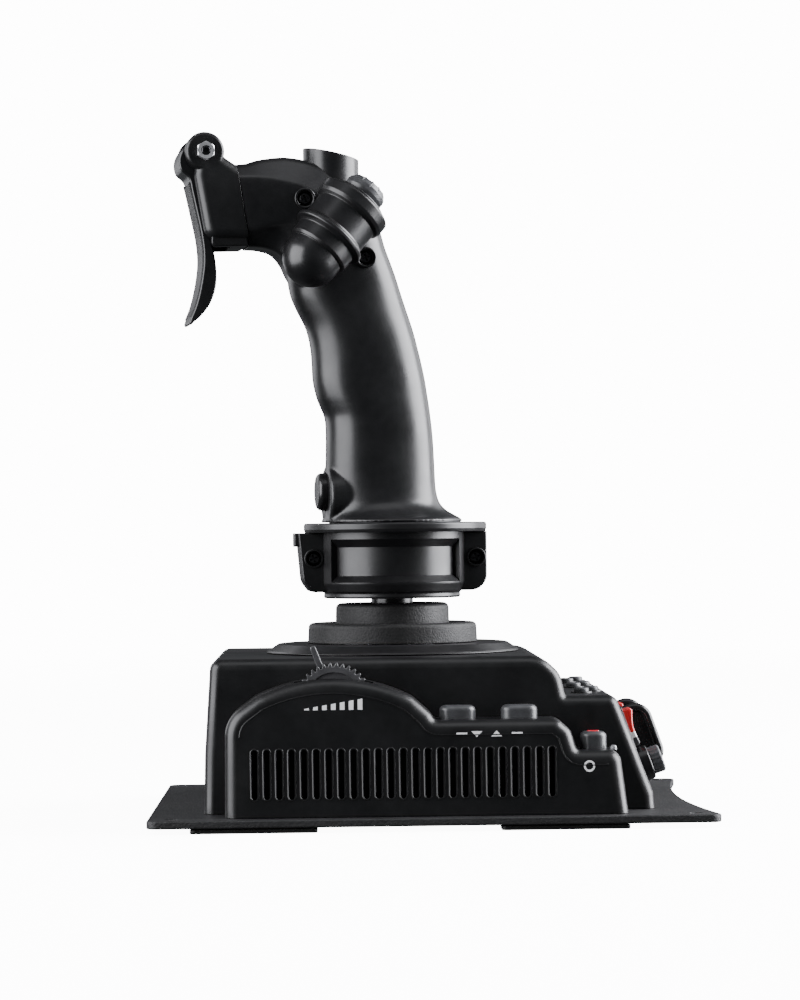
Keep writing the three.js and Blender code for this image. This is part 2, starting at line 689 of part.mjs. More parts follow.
// The pod's outline along its own axis, from the dome to the hat's recess, grown by a clearance.
function podProfile(grow) {
  const dome = [0, 30, 60, 85].map((angle) => [
    (12.3 + grow) * Math.sin(radians(angle)),
    -(12.3 + grow) * Math.cos(radians(angle)),
  ]);
  return [
    ...dome,
    [12.3 + grow, 4 - grow],
    [13.6 + grow, 4 - grow],
    [13.7 + grow, 10.8 - grow],
    [16.1 + grow, 10.8 - grow],
    [16.1 + grow, 13.2 + grow],
    [14.2 + grow, 13.8 + grow],
    [14.2 + grow, 24.8 - grow],
    [16.1 + grow, 25.6 - grow],
    [16.1 + grow, 31.6 + grow],
  ];
}

function gripBody() {
  const outer = join(
    stacked(GRIP_SECTIONS),
    prismY(headShape, -HEAD_HALF, HEAD_HALF, 3.5),
    prismY(
      roundedShape([[PINKY.boss, 124.9], [-6, 124.9], [-6, 148], [PINKY.boss, 148, 5]]),
      -PINKY.half,
      PINKY.half,
    ),
  );
  const upper = GRIP_SECTIONS.filter(({ z }) => z > 140);
  const channel = [{ ...upper[0], z: 120 }, ...upper.filter((_, i) => i % 2 === 1)];
  const headRoom = new THREE.Shape(insetPoints(headShape, GRIP_WALL));
  const inner = join(
    stacked(channel, -GRIP_WALL - 0.6, 12),
    prismY(headRoom, -HEAD_HALF + GRIP_WALL, HEAD_HALF - GRIP_WALL),
    block([-38, -11, 222], [-7, 11, 240]),
  );
  const posts = HEAD_SCREWS.map(([x, z]) =>
    alongY(disc(4.4, -HEAD_HALF + 1.5, HEAD_HALF - 1.5, 14)).translate([x, 0, z]),
  );
  const ways = HEAD_SCREWS.flatMap(([x, z]) => [
    alongY(disc(1.9, -30, HEAD_HALF - 3, 10)).translate([x, 0, z]),
    alongY(disc(3.4, -30, -HEAD_HALF + 2.4, 16)).translate([x, 0, z]),
  ]);
  const button = alongX(disc(PINKY.radius + RUN, -60, -20, 24)).translate([0, 0, PINKY.z]);
  const thumbWay = disc(THUMB.radius + RUN, 266, 300).translate([THUMB.x, 0, 0]);
  const lip = [[HAT.lip + GAP, 31.6 + GAP], [HAT.lip + GAP, HAT.lipTop + GAP], [0, HAT.lipTop + GAP]];
  const podRoom = onPod(turned([...podProfile(GAP), ...lip], 24));
  const podWay = alongY(disc(8, -40, -10, 20)).translate([-27, 0, 249.5]);
  return cut(join(cut(outer, inner), ...posts), ...ways, button, thumbWay, podRoom, podWay);
}
const gripWhole = gripBody();
piece("grip_shell_left", leftHalf(gripWhole), gripBlack, grip);
piece("grip_shell_right", rightHalf(gripWhole), gripBlack, grip);
HEAD_SCREWS.forEach(([x, z], i) => {
  const made = screw(2.9, 1.6, 1.5, 28).translate([x, -HEAD_HALF + 0.5, z]);
  piece(`grip_screw_${["upper", "lower"][i]}`, made, darkSteel, grip);
});

// ---- buttons on the grip ----
const slanted = block([-60, -60, 0], [60, 60, 60])
  .rotate([0, THUMB.slope, 0])
  .translate([THUMB.x, 0, THUMB.z]);
const thumb = turned([
  [0, 269],
  [THUMB.radius, 269],
  [THUMB.radius, 300],
  [0, 300],
]).translate([THUMB.x, 0, 0]);
piece("thumb_button", cut(thumb, slanted), buttonGrey, grip);

const pinky = turned([
  [0, PINKY.front],
  [PINKY.radius - 2, PINKY.front],
  [PINKY.radius - 0.5, PINKY.front + 0.8],
  [PINKY.radius, PINKY.front + 2],
  [PINKY.radius, -23],
  [0, -23],
], 24);
piece("pinky_button", alongX(pinky).translate([0, 0, PINKY.z]), buttonGrey, grip);

// ---- hat pod ----
const podShell = onPod(turned([
  ...podProfile(0),
  [HAT.lip, 31.6],
  [HAT.lip, HAT.lipTop],
  [HAT.recess, HAT.lipTop],
  [HAT.recess, 22],
  [0, 22],
], 24));
piece("hat_pod", podShell, gripBlack, grip);
piece("pod_hat", onPod(turned([
  [0, 23.5],
  [HAT.stem, 23.5],
  [HAT.stem, HAT.low],
  [HAT.cap, HAT.low],
  [HAT.cap, HAT.top - 2],
  [HAT.cap - 1.6, HAT.top],
  [0, HAT.top - 0.8],
], 24)), buttonGrey, grip);

// ---- trigger housing, trigger, bolt and nut ----
const cheekShape = spacedShape([
  [-80.9, 244.2, 5],
  [-62.6, 244.2, 2.5],
  [-67.3, 276.4, 3],
  [-73.2, 282, 3],
  [-74.4, 287.2, 4],
  [-81, 290.5, 6],
  [-87.6, 287.2, 6],
  [-88.8, 280, 6],
  [-85.2, 272.6, 4],
], 1);
function triggerHousing() {
  const { x, z } = TRIGGER_PIVOT;
  const cheeks = prismY(cheekShape, -HEAD_HALF, HEAD_HALF, 1.5);
  const slot = block([-120, -CHEEK_INNER, 200], [-69.4, CHEEK_INNER, 300]);
  const topRoom = block([-76, -CHEEK_INNER, 270], [-60, CHEEK_INNER, 300]);
  const bolt = alongY(disc(2 + GAP, -30, 30, 12)).translate([x, 0, z]);
  const switchRoom = block([-70, -4.3, 252.7], [-65.7, 4.3, 259.3]);
  return cut(cheeks, slot, topRoom, bolt, switchRoom);
}
piece("trigger_housing", triggerHousing(), housingBlack, grip);

const triggerShape = roundedShape([
  [-88.9, 210.4, 2],
  [-83, 212.6, 5],
  [-77.6, 219.5, 7],
  [-75.8, 230.5, 10],
  [-78.2, 244, 8],
  [-81.2, 257, 8],
  [-81.6, 271, 3],
  [-73.6, 277, 5],
  [-72.8, 288, 5],
  [-81, 291, 6],
  [-90.4, 287, 6],
  [-92, 277, 6],
  [-87.8, 270.5, 3],
  [-84.6, 253, 10],
  [-82.2, 237, 12],
  [-84.2, 224, 10],
]);
function triggerLever() {
  const { x, z } = TRIGGER_PIVOT;
  const lever = prismY(triggerShape, -CHEEK_INNER + 0.5, CHEEK_INNER - 0.5);
  return cut(lever, alongY(disc(2 + RUN, -30, 30, 12)).translate([x, 0, z]));
}
piece("trigger", triggerLever(), housingBlack, grip);

const boltHead = turned([
  [0, -20],
  [3.5, -20],
  [3.5, -HEAD_HALF - GAP],
  [2, -HEAD_HALF - GAP],
  [2, HEAD_HALF + 3.4],
  [0, HEAD_HALF + 3.4],
], 12);
const mirroredBolt = alongY(boltHead).mirror([0, 1, 0]);
piece("trigger_bolt", mirroredBolt.translate([TRIGGER_PIVOT.x, 0, TRIGGER_PIVOT.z]), steel, grip);
const nutHex = new THREE.CylinderGeometry(4.04, 4.04, 3, 6);
const nut = cut(
  solid(nutHex).translate([0, -HEAD_HALF - GAP - 1.5, 0]),
  alongY(disc(2 + GAP, -30, 0, 12)),
);
piece("trigger_nut", nut.translate([TRIGGER_PIVOT.x, 0, TRIGGER_PIVOT.z]), steel, grip);
piece("trigger_switch", block([-74, -4, 253], [-66, 4, 259]), white, grip);

export default joystick;
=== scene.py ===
"""Looks of the desktop flight joystick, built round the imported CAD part.

Shapes are made in millimetres, in the frame of the assembly they belong to (base, clamp, grip, control panel
or hat pod), and put() carries each one into the row frame in metres and onto its body.
"""

import json
import math

import bmesh
import bpy
from mathutils import Matrix, Vector


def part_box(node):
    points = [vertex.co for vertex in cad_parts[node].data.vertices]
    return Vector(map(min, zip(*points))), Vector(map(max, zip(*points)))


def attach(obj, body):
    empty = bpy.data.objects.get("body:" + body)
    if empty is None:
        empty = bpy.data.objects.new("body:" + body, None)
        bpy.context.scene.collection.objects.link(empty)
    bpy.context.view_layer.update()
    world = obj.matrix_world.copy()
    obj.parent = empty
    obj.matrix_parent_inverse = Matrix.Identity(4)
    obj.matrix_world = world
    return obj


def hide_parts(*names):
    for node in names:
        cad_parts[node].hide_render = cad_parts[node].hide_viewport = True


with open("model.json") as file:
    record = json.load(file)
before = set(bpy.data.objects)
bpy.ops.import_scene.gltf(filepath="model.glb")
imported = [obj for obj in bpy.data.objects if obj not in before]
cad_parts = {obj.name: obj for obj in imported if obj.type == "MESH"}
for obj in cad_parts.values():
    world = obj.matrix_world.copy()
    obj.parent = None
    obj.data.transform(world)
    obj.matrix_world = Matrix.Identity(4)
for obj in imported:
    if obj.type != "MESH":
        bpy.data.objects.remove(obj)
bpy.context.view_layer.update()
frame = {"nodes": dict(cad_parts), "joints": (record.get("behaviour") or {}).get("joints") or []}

# ---- frames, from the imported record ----
MM = 0.001
JOINTS = {j["name"]: j for j in frame["joints"]}


def joint_mm(name):
    return Vector(JOINTS[name]["pos_m"]) / MM


def box_mm(node):
    low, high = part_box(node)
    return low / MM, high / MM


def middle_mm(node):
    return sum(box_mm(node), Vector()) / 2


def polar(radius, degrees):
    angle = math.radians(degrees)
    return Vector((radius * math.cos(angle), radius * math.sin(angle)))


def basis(x_axis, y_axis, z_axis, origin):
    made = Matrix((x_axis, y_axis, z_axis)).transposed().to_4x4()
    made.translation = origin
    return made


GRIP_CANT = math.atan2(*reversed(Vector(JOINTS["pinky_press"]["axis"])[:2]))
CLAMP_CANT = math.radians(5)
AXIS_X = joint_mm("stick_twist").x
BASE = Matrix.Identity(4)
STICK = Matrix.Translation((AXIS_X, 0, 0))
CLAMP = STICK @ Matrix.Rotation(CLAMP_CANT, 4, "Z")
GRIP = STICK @ Matrix.Rotation(GRIP_CANT, 4, "Z")
OUT = Vector(JOINTS["knob_left_turn"]["axis"])
DOWN = Vector((OUT.z, 0, -OUT.x))
ROCKER_DOWN = 13.6
PANEL_TOP = joint_mm("rocker_centre_tilt") - DOWN * ROCKER_DOWN - OUT * 0.5
POD_RISE, POD_LEAN = math.radians(50), math.radians(8)
POD_AXIS = Vector((
    math.cos(POD_RISE) * math.cos(POD_LEAN),
    math.sin(POD_LEAN),
    math.sin(POD_RISE) * math.cos(POD_LEAN),
))
HAT_PIVOT = 24.5
POD_CENTRE = GRIP.inverted() @ joint_mm("hat_tilt") - POD_AXIS * HAT_PIVOT
POD_TURN = Vector((0, 0, 1)).rotation_difference(POD_AXIS).to_matrix().to_4x4()
POD = GRIP @ Matrix.Translation(POD_CENTRE) @ POD_TURN
TRIGGER_PIVOT = GRIP.inverted() @ joint_mm("trigger_pull")


def on_panel(down, y):
    """The frame of a thing on the control panel: X runs down the slope and Z stands out of it."""
    return basis(DOWN, Vector((0, 1, 0)), OUT, PANEL_TOP + DOWN * down + Vector((0, y, 0)))


# ---- outlines ----
def filleted(points, closed=True, step=9.0):
    """The points (x, y, radius) as an outline with an arc in place of each corner that has a radius."""
    made = []
    count = len(points)
    for i, point in enumerate(points):
        radius = point[2] if len(point) > 2 else 0
        corner = Vector(point[:2])
        if not radius or (not closed and i in (0, count - 1)):
            made.append(corner)
            continue
        before = Vector(points[i - 1][:2]) - corner
        after = Vector(points[(i + 1) % count][:2]) - corner
        spread = before.angle(after)
        if spread > math.pi - 0.02:
            made.append(corner)
            continue
        reach = min(radius / math.tan(spread / 2), before.length * 0.499, after.length * 0.499)
        real = reach * math.tan(spread / 2)
        inwards = (before.normalized() + after.normalized()).normalized()
        centre = corner + inwards * real / math.sin(spread / 2)
        start = corner + before.normalized() * reach - centre
        end = corner + after.normalized() * reach - centre
        turn = math.atan2(start.cross(end), start.dot(end))
        steps = max(2, math.ceil(abs(math.degrees(turn)) / step))
        for k in range(steps + 1):
            angle = turn * k / steps
            c, s = math.cos(angle), math.sin(angle)
            made.append(centre + Vector((c * start.x - s * start.y, s * start.x + c * start.y)))
    return made


def curve_through(points, steps=6, closed=False):
    """A smooth line through points of any dimension."""
    points = [Vector(p) for p in points]
    count = len(points)
    made = []
    for i in range(count if closed else count - 1):
        p0 = points[i - 1] if closed or i else 2 * points[0] - points[1]
        p1, p2 = points[i], points[(i + 1) % count]
        p3 = points[(i + 2) % count] if closed or i + 2 < count else 2 * p2 - p1
        for k in range(steps):
            t = k / steps
            made.append(0.5 * (2 * p1 + (p2 - p0) * t + (2 * p0 - 5 * p1 + 4 * p2 - p3) * t * t
                               + (3 * p1 - p0 - 3 * p2 + p3) * t ** 3))
    if not closed:
        made.append(points[-1])
    return made


def table_curve(rows, z, column):
    """A value read off rows of (z, values...) by smooth interpolation."""
    for i in range(len(rows) - 1):
        if z <= rows[i + 1][0] or i == len(rows) - 2:
            t = (z - rows[i][0]) / (rows[i + 1][0] - rows[i][0])
            a, b = rows[max(i - 1, 0)], rows[i]
            c, d = rows[i + 1], rows[min(i + 2, len(rows) - 1)]
            span = c[0] - b[0]
            m1 = (c[column] - a[column]) / (c[0] - a[0]) * span
            m2 = (d[column] - b[column]) / (d[0] - b[0]) * span
            t2, t3 = t * t, t * t * t
            return ((2 * t3 - 3 * t2 + 1) * b[column] + (t3 - 2 * t2 + t) * m1
                    + (3 * t2 - 2 * t3) * c[column] + (t3 - t2) * m2)


def inset(points, distance):
    """A closed outline moved inwards by a distance."""
    points = [Vector(p[:2]) for p in points]
    area = sum(a.cross(b) for a, b in zip(points, points[1:] + points[:1]))
    side = 1 if area > 0 else -1
    made = []
    for i, point in enumerate(points):
        before = (point - points[i - 1]).normalized()
        after = (points[(i + 1) % len(points)] - point).normalized()
        normal = Vector((-before.y - after.y, before.x + after.x)).normalized() * side
        stretch = 1 / max(0.5, normal.dot(Vector((-after.y, after.x))) * side)
        made.append(point + normal * distance * stretch)
    return made


def circle(radius, x=0.0, y=0.0, steps=32):
    return [Vector((x, y)) + polar(radius, 360 * k / steps) for k in range(steps)]


def rectangle(x, y, half_x, half_y, radius, step=9.0):
    return filleted([(x - half_x, y - half_y, radius), (x + half_x, y - half_y, radius),
                     (x + half_x, y + half_y, radius), (x - half_x, y + half_y, radius)], step=step)


# ---- meshes ----
def shown(mesh):
    made = bpy.data.objects.new("work", mesh)
    bpy.context.scene.collection.objects.link(made)
    return made


def from_bmesh(bm, tidy=True):
    if tidy:
        bmesh.ops.remove_doubles(bm, verts=bm.verts, dist=1e-4)
        bmesh.ops.recalc_face_normals(bm, faces=bm.faces)
    mesh = bpy.data.meshes.new("work")
    bm.to_mesh(mesh)
    bm.free()
    return shown(mesh)


def moved(ob, matrix):
    ob.data.transform(matrix)
    if matrix.determinant() < 0:
        ob.data.flip_normals()
    return ob


def copied(ob):
    return shown(ob.data.copy())


def joined(*parts):
    """Several meshes as one, without a union."""
    bm = bmesh.new()
    for part in parts:
        bm.from_mesh(part.data)
        bpy.data.objects.remove(part)
    return from_bmesh(bm, tidy=False)


def baked(ob):
    bpy.context.view_layer.update()
    graph = bpy.context.evaluated_depsgraph_get()
    ob.data = bpy.data.meshes.new_from_object(ob.evaluated_get(graph))
    ob.modifiers.clear()
    return ob


def boolean(ob, operation, tool):
    change = ob.modifiers.new("boolean", "BOOLEAN")
    change.operation = operation
    change.object = tool
    change.solver = "EXACT"
    baked(ob)
    bpy.data.objects.remove(tool)
    return ob


def cut(ob, *tools):
    """Takes tools out of a mesh at once: they must not overlap one another."""
    return boolean(ob, "DIFFERENCE", joined(*tools) if len(tools) > 1 else tools[0])


def union(ob, *tools):
    for tool in tools:
        boolean(ob, "UNION", tool)
    return ob


def bevelled(ob, width, segments=2, angle=35.0):
    change = ob.modifiers.new("bevel", "BEVEL")
    change.width = width
    change.segments = segments
    change.limit_method = "ANGLE"
    change.angle_limit = math.radians(angle)
    change.use_clamp_overlap = True
    return baked(ob)


def trimmed(ob, point, normal):
    """Cuts off what lies beyond a plane and closes the cut."""
    bm = bmesh.new()
    bm.from_mesh(ob.data)
    found = bmesh.ops.bisect_plane(
        bm, geom=bm.verts[:] + bm.edges[:] + bm.faces[:], dist=1e-5,
        plane_co=Vector(point), plane_no=Vector(normal), clear_outer=True)
    edges = [e for e in found["geom_cut"] if isinstance(e, bmesh.types.BMEdge)]
    made = bmesh.ops.edgeloop_fill(bm, edges=edges)["faces"] if edges else []
    bmesh.ops.triangulate(bm, faces=made)
    bmesh.ops.recalc_face_normals(bm, faces=bm.faces)
    bm.to_mesh(ob.data)
    bm.free()
    return ob


def slab(outline, low, high, edge=0.0, holes=(), steps=3):
    """An outline in X and Y carried from low to high, with round edges and holes."""
    line = bpy.data.curves.new("outline", "CURVE")
    line.dimensions = "2D"
    line.fill_mode = "BOTH"
    line.extrude = (high - low) / 2 - edge
    line.bevel_depth = edge
    line.bevel_resolution = steps
    line.offset = -edge
    for loop in (outline, *holes):
        spline = line.splines.new("POLY")
        spline.points.add(len(loop) - 1)
        for point, place in zip(spline.points, loop):
            point.co = (place[0], place[1], 0, 1)
        spline.use_cyclic_u = True
    ob = bpy.data.objects.new("outline", line)
    bpy.context.scene.collection.objects.link(ob)
    bpy.context.view_layer.update()
    mesh = bpy.data.meshes.new_from_object(ob.evaluated_get(bpy.context.evaluated_depsgraph_get()))
    bpy.data.objects.remove(ob)
    bm = bmesh.new()
    bm.from_mesh(mesh)
    bmesh.ops.translate(bm, verts=bm.verts, vec=(0, 0, (low + high) / 2))
    bpy.data.meshes.remove(mesh)
    bmesh.ops.dissolve_degenerate(bm, edges=bm.edges, dist=1e-4)
    return from_bmesh(bm)


UPRIGHT = Matrix(((1, 0, 0, 0), (0, 0, 1, 0), (0, 1, 0, 0), (0, 0, 0, 1)))


def slab_y(outline, low, high, edge=0.0, holes=(), steps=3):
    """An outline in X and Z carried along Y."""
    return moved(slab(outline, low, high, edge, holes, steps), UPRIGHT)


def block(low, high):
    outline = [(low[0], low[1]), (high[0], low[1]), (high[0], high[1]), (low[0], high[1])]
    return slab(outline, low[2], high[2])


def lathe(points, segments=96, step=9.0):
    """A profile of (radius, height, fillet) turned round Z: closed if it doesn't start on the axis."""
    closed = points[0][0] > 1e-6
    bm = bmesh.new()
    rings = []
    for radius, height in filleted(points, closed, step):
        turns = range(segments) if radius > 1e-6 else range(1)
        rings.append([bm.verts.new((*polar(radius, 360 * k / segments), height)) for k in turns])
    for a, b in zip(rings, rings[1:] + (rings[:1] if closed else [])):
        for k in range(segments):
            n = (k + 1) % segments
            corners = dict.fromkeys((a[k % len(a)], a[n % len(a)], b[n % len(b)], b[k % len(b)]))
            if len(corners) > 2:
                bm.faces.new(list(corners))
    return from_bmesh(bm)


def loft(rings, closed=False):
    """Rings with the same number of points, joined in order: back to the first, or with closed ends."""
    bm = bmesh.new()
    rows = [[bm.verts.new(p) for p in ring] for ring in rings]
    count = len(rows[0])
    pairs = list(zip(rows, rows[1:]))
    if closed:
        shift = min(range(count), key=lambda k: (rings[-1][0] - rings[0][k]).length)
        pairs.append((rows[-1], rows[0][shift:] + rows[0][:shift]))
    for a, b in pairs:
        for k in range(count):
            n = (k + 1) % count
            bm.faces.new((a[k], a[n], b[n], b[k]))
    ends = [] if closed else [rows[0], rows[-1]]
    for row in ends:
        middle = bm.verts.new(sum((v.co for v in row), Vector()) / count)
        for k in range(count):
            bm.faces.new((row[k], row[(k + 1) % count], middle))
    return from_bmesh(bm)


def tube(path, radius, sides=10, closed=False):
    """A round bar along a path of points."""
    path = [Vector(p) for p in path]
    count = len(path)
    side = None
    rings = []
    for i, point in enumerate(path):
        ahead = path[(i + 1) % count] if closed or i + 1 < count else point
        back = path[i - 1] if closed or i else point
        along = (ahead - back).normalized()
        if side is None:
            side = along.orthogonal().normalized()
        side = (side - along * side.dot(along)).normalized()
        other = along.cross(side)
        turns = [2 * math.pi * k / sides for k in range(sides)]
        rings.append([point + (side * math.cos(t) + other * math.sin(t)) * radius for t in turns])
    return loft(rings, closed)


def mapped_box(counts, place):
    """The surface of a grid of cells, each grid point (u, v, w from 0 to 1) put at place(u, v, w)."""
    bm = bmesh.new()
    made = {}

    def vertex(cell):
        if cell not in made:
            made[cell] = bm.verts.new(place(*[c / n for c, n in zip(cell, counts)]))
        return made[cell]

    for axis in range(3):
        first, second = [a for a in range(3) if a != axis]
        for end in (0, counts[axis]):
            for i in range(counts[first]):
                for j in range(counts[second]):
                    cells = []
                    for di, dj in ((0, 0), (1, 0), (1, 1), (0, 1)):
                        cell = [0, 0, 0]
                        cell[axis], cell[first], cell[second] = end, i + di, j + dj
                        cells.append(vertex(tuple(cell)))
                    bm.faces.new(cells)
    return from_bmesh(bm)


def fused(ob, voxel, rounds):
    """One closed skin round overlapping meshes, smoothed."""
    change = ob.modifiers.new("skin", "REMESH")
    change.mode = "VOXEL"
    change.voxel_size = voxel
    relax = ob.modifiers.new("relax", "SMOOTH")
    relax.iterations = rounds
    relax.factor = 0.5
    return baked(ob)


ALONG_X = Matrix.Rotation(math.radians(90), 4, "Y")
ALONG_Y = Matrix.Rotation(math.radians(-90), 4, "X")
TO_LEFT = Matrix.Rotation(math.radians(90), 4, "X")


def at(x, y, z):
    return Matrix.Translation((x, y, z))


def bore(radius, low, high, segments=40):
    """A plain round cutter along Z."""
    return lathe([(0, low), (radius, low), (radius, high), (0, high)], segments)


# ---- materials ----
def fill(node, **values):
    """Sets a node's inputs, with _ for the spaces in their names."""
    for name, value in values.items():
        node.inputs[name.replace("_", " ")].default_value = value


def material(name, colour, roughness, metal=0.0, specular=0.5, grain=1800, height=20, spots=0,
             tint=0.25, coat=0.0, emission=None, brushed=None):
    """A moulded or metal finish: fine surface grain, patches of roughness and slight colour variation.

    The grain's height is in micrometres.
    """
    made = bpy.data.materials.new(name)
    made.use_nodes = True
    nodes, links = made.node_tree.nodes, made.node_tree.links
    shader = nodes["Principled BSDF"]
    fill(shader, Metallic=metal, Specular_IOR_Level=specular, Coat_Weight=coat, Coat_Roughness=0.25)
    place = nodes.new("ShaderNodeTexCoord").outputs["Object"]

    def noise(scale, detail, source=place):
        made_noise = nodes.new("ShaderNodeTexNoise")
        fill(made_noise, Scale=scale, Detail=detail)
        links.new(source, made_noise.inputs["Vector"])
        return made_noise.outputs["Fac"]

    def remap(value, low, high):
        ranged = nodes.new("ShaderNodeMapRange")
        fill(ranged, From_Min=0.3, From_Max=0.7, To_Min=low, To_Max=high)
        links.new(value, ranged.inputs["Value"])
        return ranged.outputs["Result"]

    links.new(remap(noise(45.0, 4.0), roughness - 0.06, roughness + 0.06), shader.inputs["Roughness"])
    mix = nodes.new("ShaderNodeMix")
    mix.data_type = "RGBA"
    mix.inputs["A"].default_value = (*[c * (1 - tint) for c in colour], 1)
    mix.inputs["B"].default_value = (*[min(1, c * (1 + tint)) for c in colour], 1)
    links.new(remap(noise(260.0, 6.0), 0.0, 1.0), mix.inputs["Factor"])
    links.new(mix.outputs["Result"], shader.inputs["Base Color"])
    if emission:
        fill(shader, Emission_Color=(*emission[:3], 1), Emission_Strength=emission[3])

    source = place
    if brushed:
        stretch = nodes.new("ShaderNodeMapping")
        fill(stretch, Scale=brushed)
        links.new(place, stretch.inputs["Vector"])
        source = stretch.outputs["Vector"]
    bump = nodes.new("ShaderNodeBump")
    fill(bump, Distance=height * 1e-6, Strength=1.0)
    links.new(noise(grain, 3.0, source), bump.inputs["Height"])
    if spots:
        cells = nodes.new("ShaderNodeTexVoronoi")
        fill(cells, Scale=spots)
        links.new(place, cells.inputs["Vector"])
        stipple = nodes.new("ShaderNodeBump")
        stipple.invert = True
        fill(stipple, Distance=height * 3e-6, Strength=1.0)
        links.new(cells.outputs["Distance"], stipple.inputs["Height"])
        links.new(bump.outputs["Normal"], stipple.inputs["Normal"])
        links.new(stipple.outputs["Normal"], shader.inputs["Normal"])
    else:
        links.new(bump.outputs["Normal"], shader.inputs["Normal"])
    return made


LOOKS = {
    "plate": material("powder_coat", (0.011, 0.011, 0.0115), 0.55, specular=0.4, grain=900,
                      height=50, spots=1100),
    "housing": material("satin_housing", (0.0045, 0.0045, 0.0048), 0.36, specular=0.4, grain=2200,
                        height=12),
    "grip": material("satin_grip", (0.005, 0.005, 0.0054), 0.33, specular=0.42, grain=2600, height=8),
    "gloss": material("satin_trim", (0.0055, 0.0055, 0.006), 0.27, specular=0.45, grain=2600,
                      height=6),
    "button": material("grey_cap", (0.035, 0.036, 0.038), 0.38, grain=2400, height=10),
    "wheel": material("wheel_plastic", (0.04, 0.04, 0.042), 0.33, grain=2000, height=10),
    "knob": material("knob_cap", (0.06, 0.062, 0.066), 0.42, grain=2400, height=10),
    "rubber": material("stippled_rubber", (0.006, 0.006, 0.006), 0.55, specular=0.25, grain=1600,
                       height=40, spots=1300),
    "red": material("red_cap", (0.62, 0.018, 0.02), 0.3, grain=2400, height=6, tint=0.1, coat=0.2),
    "white": material("white_cap", (0.72, 0.72, 0.7), 0.4, grain=2400, height=6, tint=0.05),
    "ink": material("white_ink", (0.8, 0.8, 0.8), 0.5, grain=3000, height=4, tint=0.04),
    "steel": material("zinc_steel", (0.75, 0.75, 0.76), 0.4, metal=1.0, grain=900, height=6,
                      tint=0.08, brushed=(1, 1, 8)),
    "black_steel": material("black_oxide", (0.05, 0.05, 0.052), 0.32, metal=1.0, grain=1500, height=10),
    "brass": material("turned_brass", (0.7, 0.5, 0.24), 0.3, metal=1.0, grain=900, height=6,
                      tint=0.1, brushed=(1, 1, 8)),
    "board": material("solder_mask", (0.015, 0.1, 0.04), 0.3, grain=700, height=20, tint=0.3),
    "lamp_red": material("red_lamp", (0.5, 0.01, 0.02), 0.2, grain=2000, height=4,
                         tint=0.1, coat=0.5, emission=(0.8, 0.02, 0.05, 0.25)),
    "lamp_clear": material("clear_lamp", (0.16, 0.16, 0.17), 0.15, grain=2000, height=4,
                           tint=0.1, coat=0.6),
}
CAD_LOOKS = {
    "throttle_sensor": "steel", "ballast_weight": "black_steel", "circuit_board": "board",
    "centring_spring": "steel", "gimbal_frame": "steel", "gimbal_ring": "steel",
    "pitch_pin_left": "brass", "pitch_pin_right": "brass", "roll_pin_front": "brass",
    "roll_pin_rear": "brass", "centring_cam": "steel", "twist_bearing": "brass", "trigger_switch": "white",
}
for node, look in CAD_LOOKS.items():
    mesh = frame["nodes"][node].data
    mesh.materials.clear()
    mesh.materials.append(LOOKS[look])


def put(ob, name, body, look, place=BASE, replaces=(), sharp=32.0, weighted=True):
    """Carries a finished mesh into the row frame, names it and rides it on its body."""
    moved(ob, Matrix.Scale(MM, 4) @ place)
    ob.name = name
    ob.data.name = name
    ob.data.materials.clear()
    ob.data.materials.append(LOOKS[look])
    ob.data.shade_smooth()
    ob.data.set_sharp_from_angle(angle=math.radians(sharp))
    if weighted:
        change = ob.modifiers.new("normals", "WEIGHTED_NORMAL")
        change.keep_sharp = True
        baked(ob)
    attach(ob, body)
    if replaces:
        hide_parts(*replaces)


# ---- screws and nuts ----
def phillips_screw(head, high, shank, length):
    """A pan head with a cross recess; its head faces -Y and its underside is at y = 0."""
    made = lathe([(0, -length), (shank, -length, 0.3), (shank, 0), (head, 0, 0.2),
                  (head, high * 0.45, high * 0.5), (head * 0.72, high, 1.0), (0, high)], 48)
    for turn in (20, 110):
        arm = mapped_box((1, 1, 1), lambda u, v, w: (
            (u - 0.5) * head * (0.7 + 0.55 * w), (v - 0.5) * head * (0.2 + 0.08 * w), high * (0.2 + w)))
        cut(made, moved(arm, Matrix.Rotation(math.radians(turn), 4, "Z")))
    return moved(made, TO_LEFT)


# ---- base plate and feet ----
PLATE_EDGE = 0.7
plate_low, plate_high = box_mm("base_plate")


def base_plate():
    x, y, corner, hollow = plate_high.x, plate_high.y, 4.5, 8
    rear = []
    for k in range(33):
        t = k / 32
        across = (1 - t) ** 2 * (corner - y) + t ** 2 * (y - corner)
        rear.append((x * ((1 - t) ** 2 + t ** 2) + 2 * (x - 2 * hollow) * t * (1 - t), across))
    corner_near = filleted([(x - 20, -y), (x, -y, corner), (x - 0.5, -y + 20)], closed=False)[1:-1]
    corner_far = [(p.x, -p.y) for p in reversed(corner_near)]
    front = filleted([(x - 20, y), (-x, y, corner), (-x, -y, corner), (x - 20, -y)], closed=False)[1:-1]
    outline = [*corner_near, *rear[1:-1], *corner_far, *front]
    holes = [circle(2.1, sx * 106, sy * 91) for sx in (-1, 1) for sy in (-1, 1)]
    return slab(outline, plate_low.z, plate_high.z, PLATE_EDGE, holes)


put(base_plate(), "plate", "base", "plate", replaces=["base_plate"])
for end in ("front", "rear"):
    for word in ("left", "right"):
        low, high = box_mm(f"foot_pad_{end}_{word}")
        middle, half = (low + high) / 2, (high - low) / 2
        outline = rectangle(middle.x, middle.y, half.x, half.y, 2)
        put(slab(outline, low.z, high.z, 0.45), f"foot_{end}_{word}", "base", "rubber",
            replaces=[f"foot_pad_{end}_{word}"])

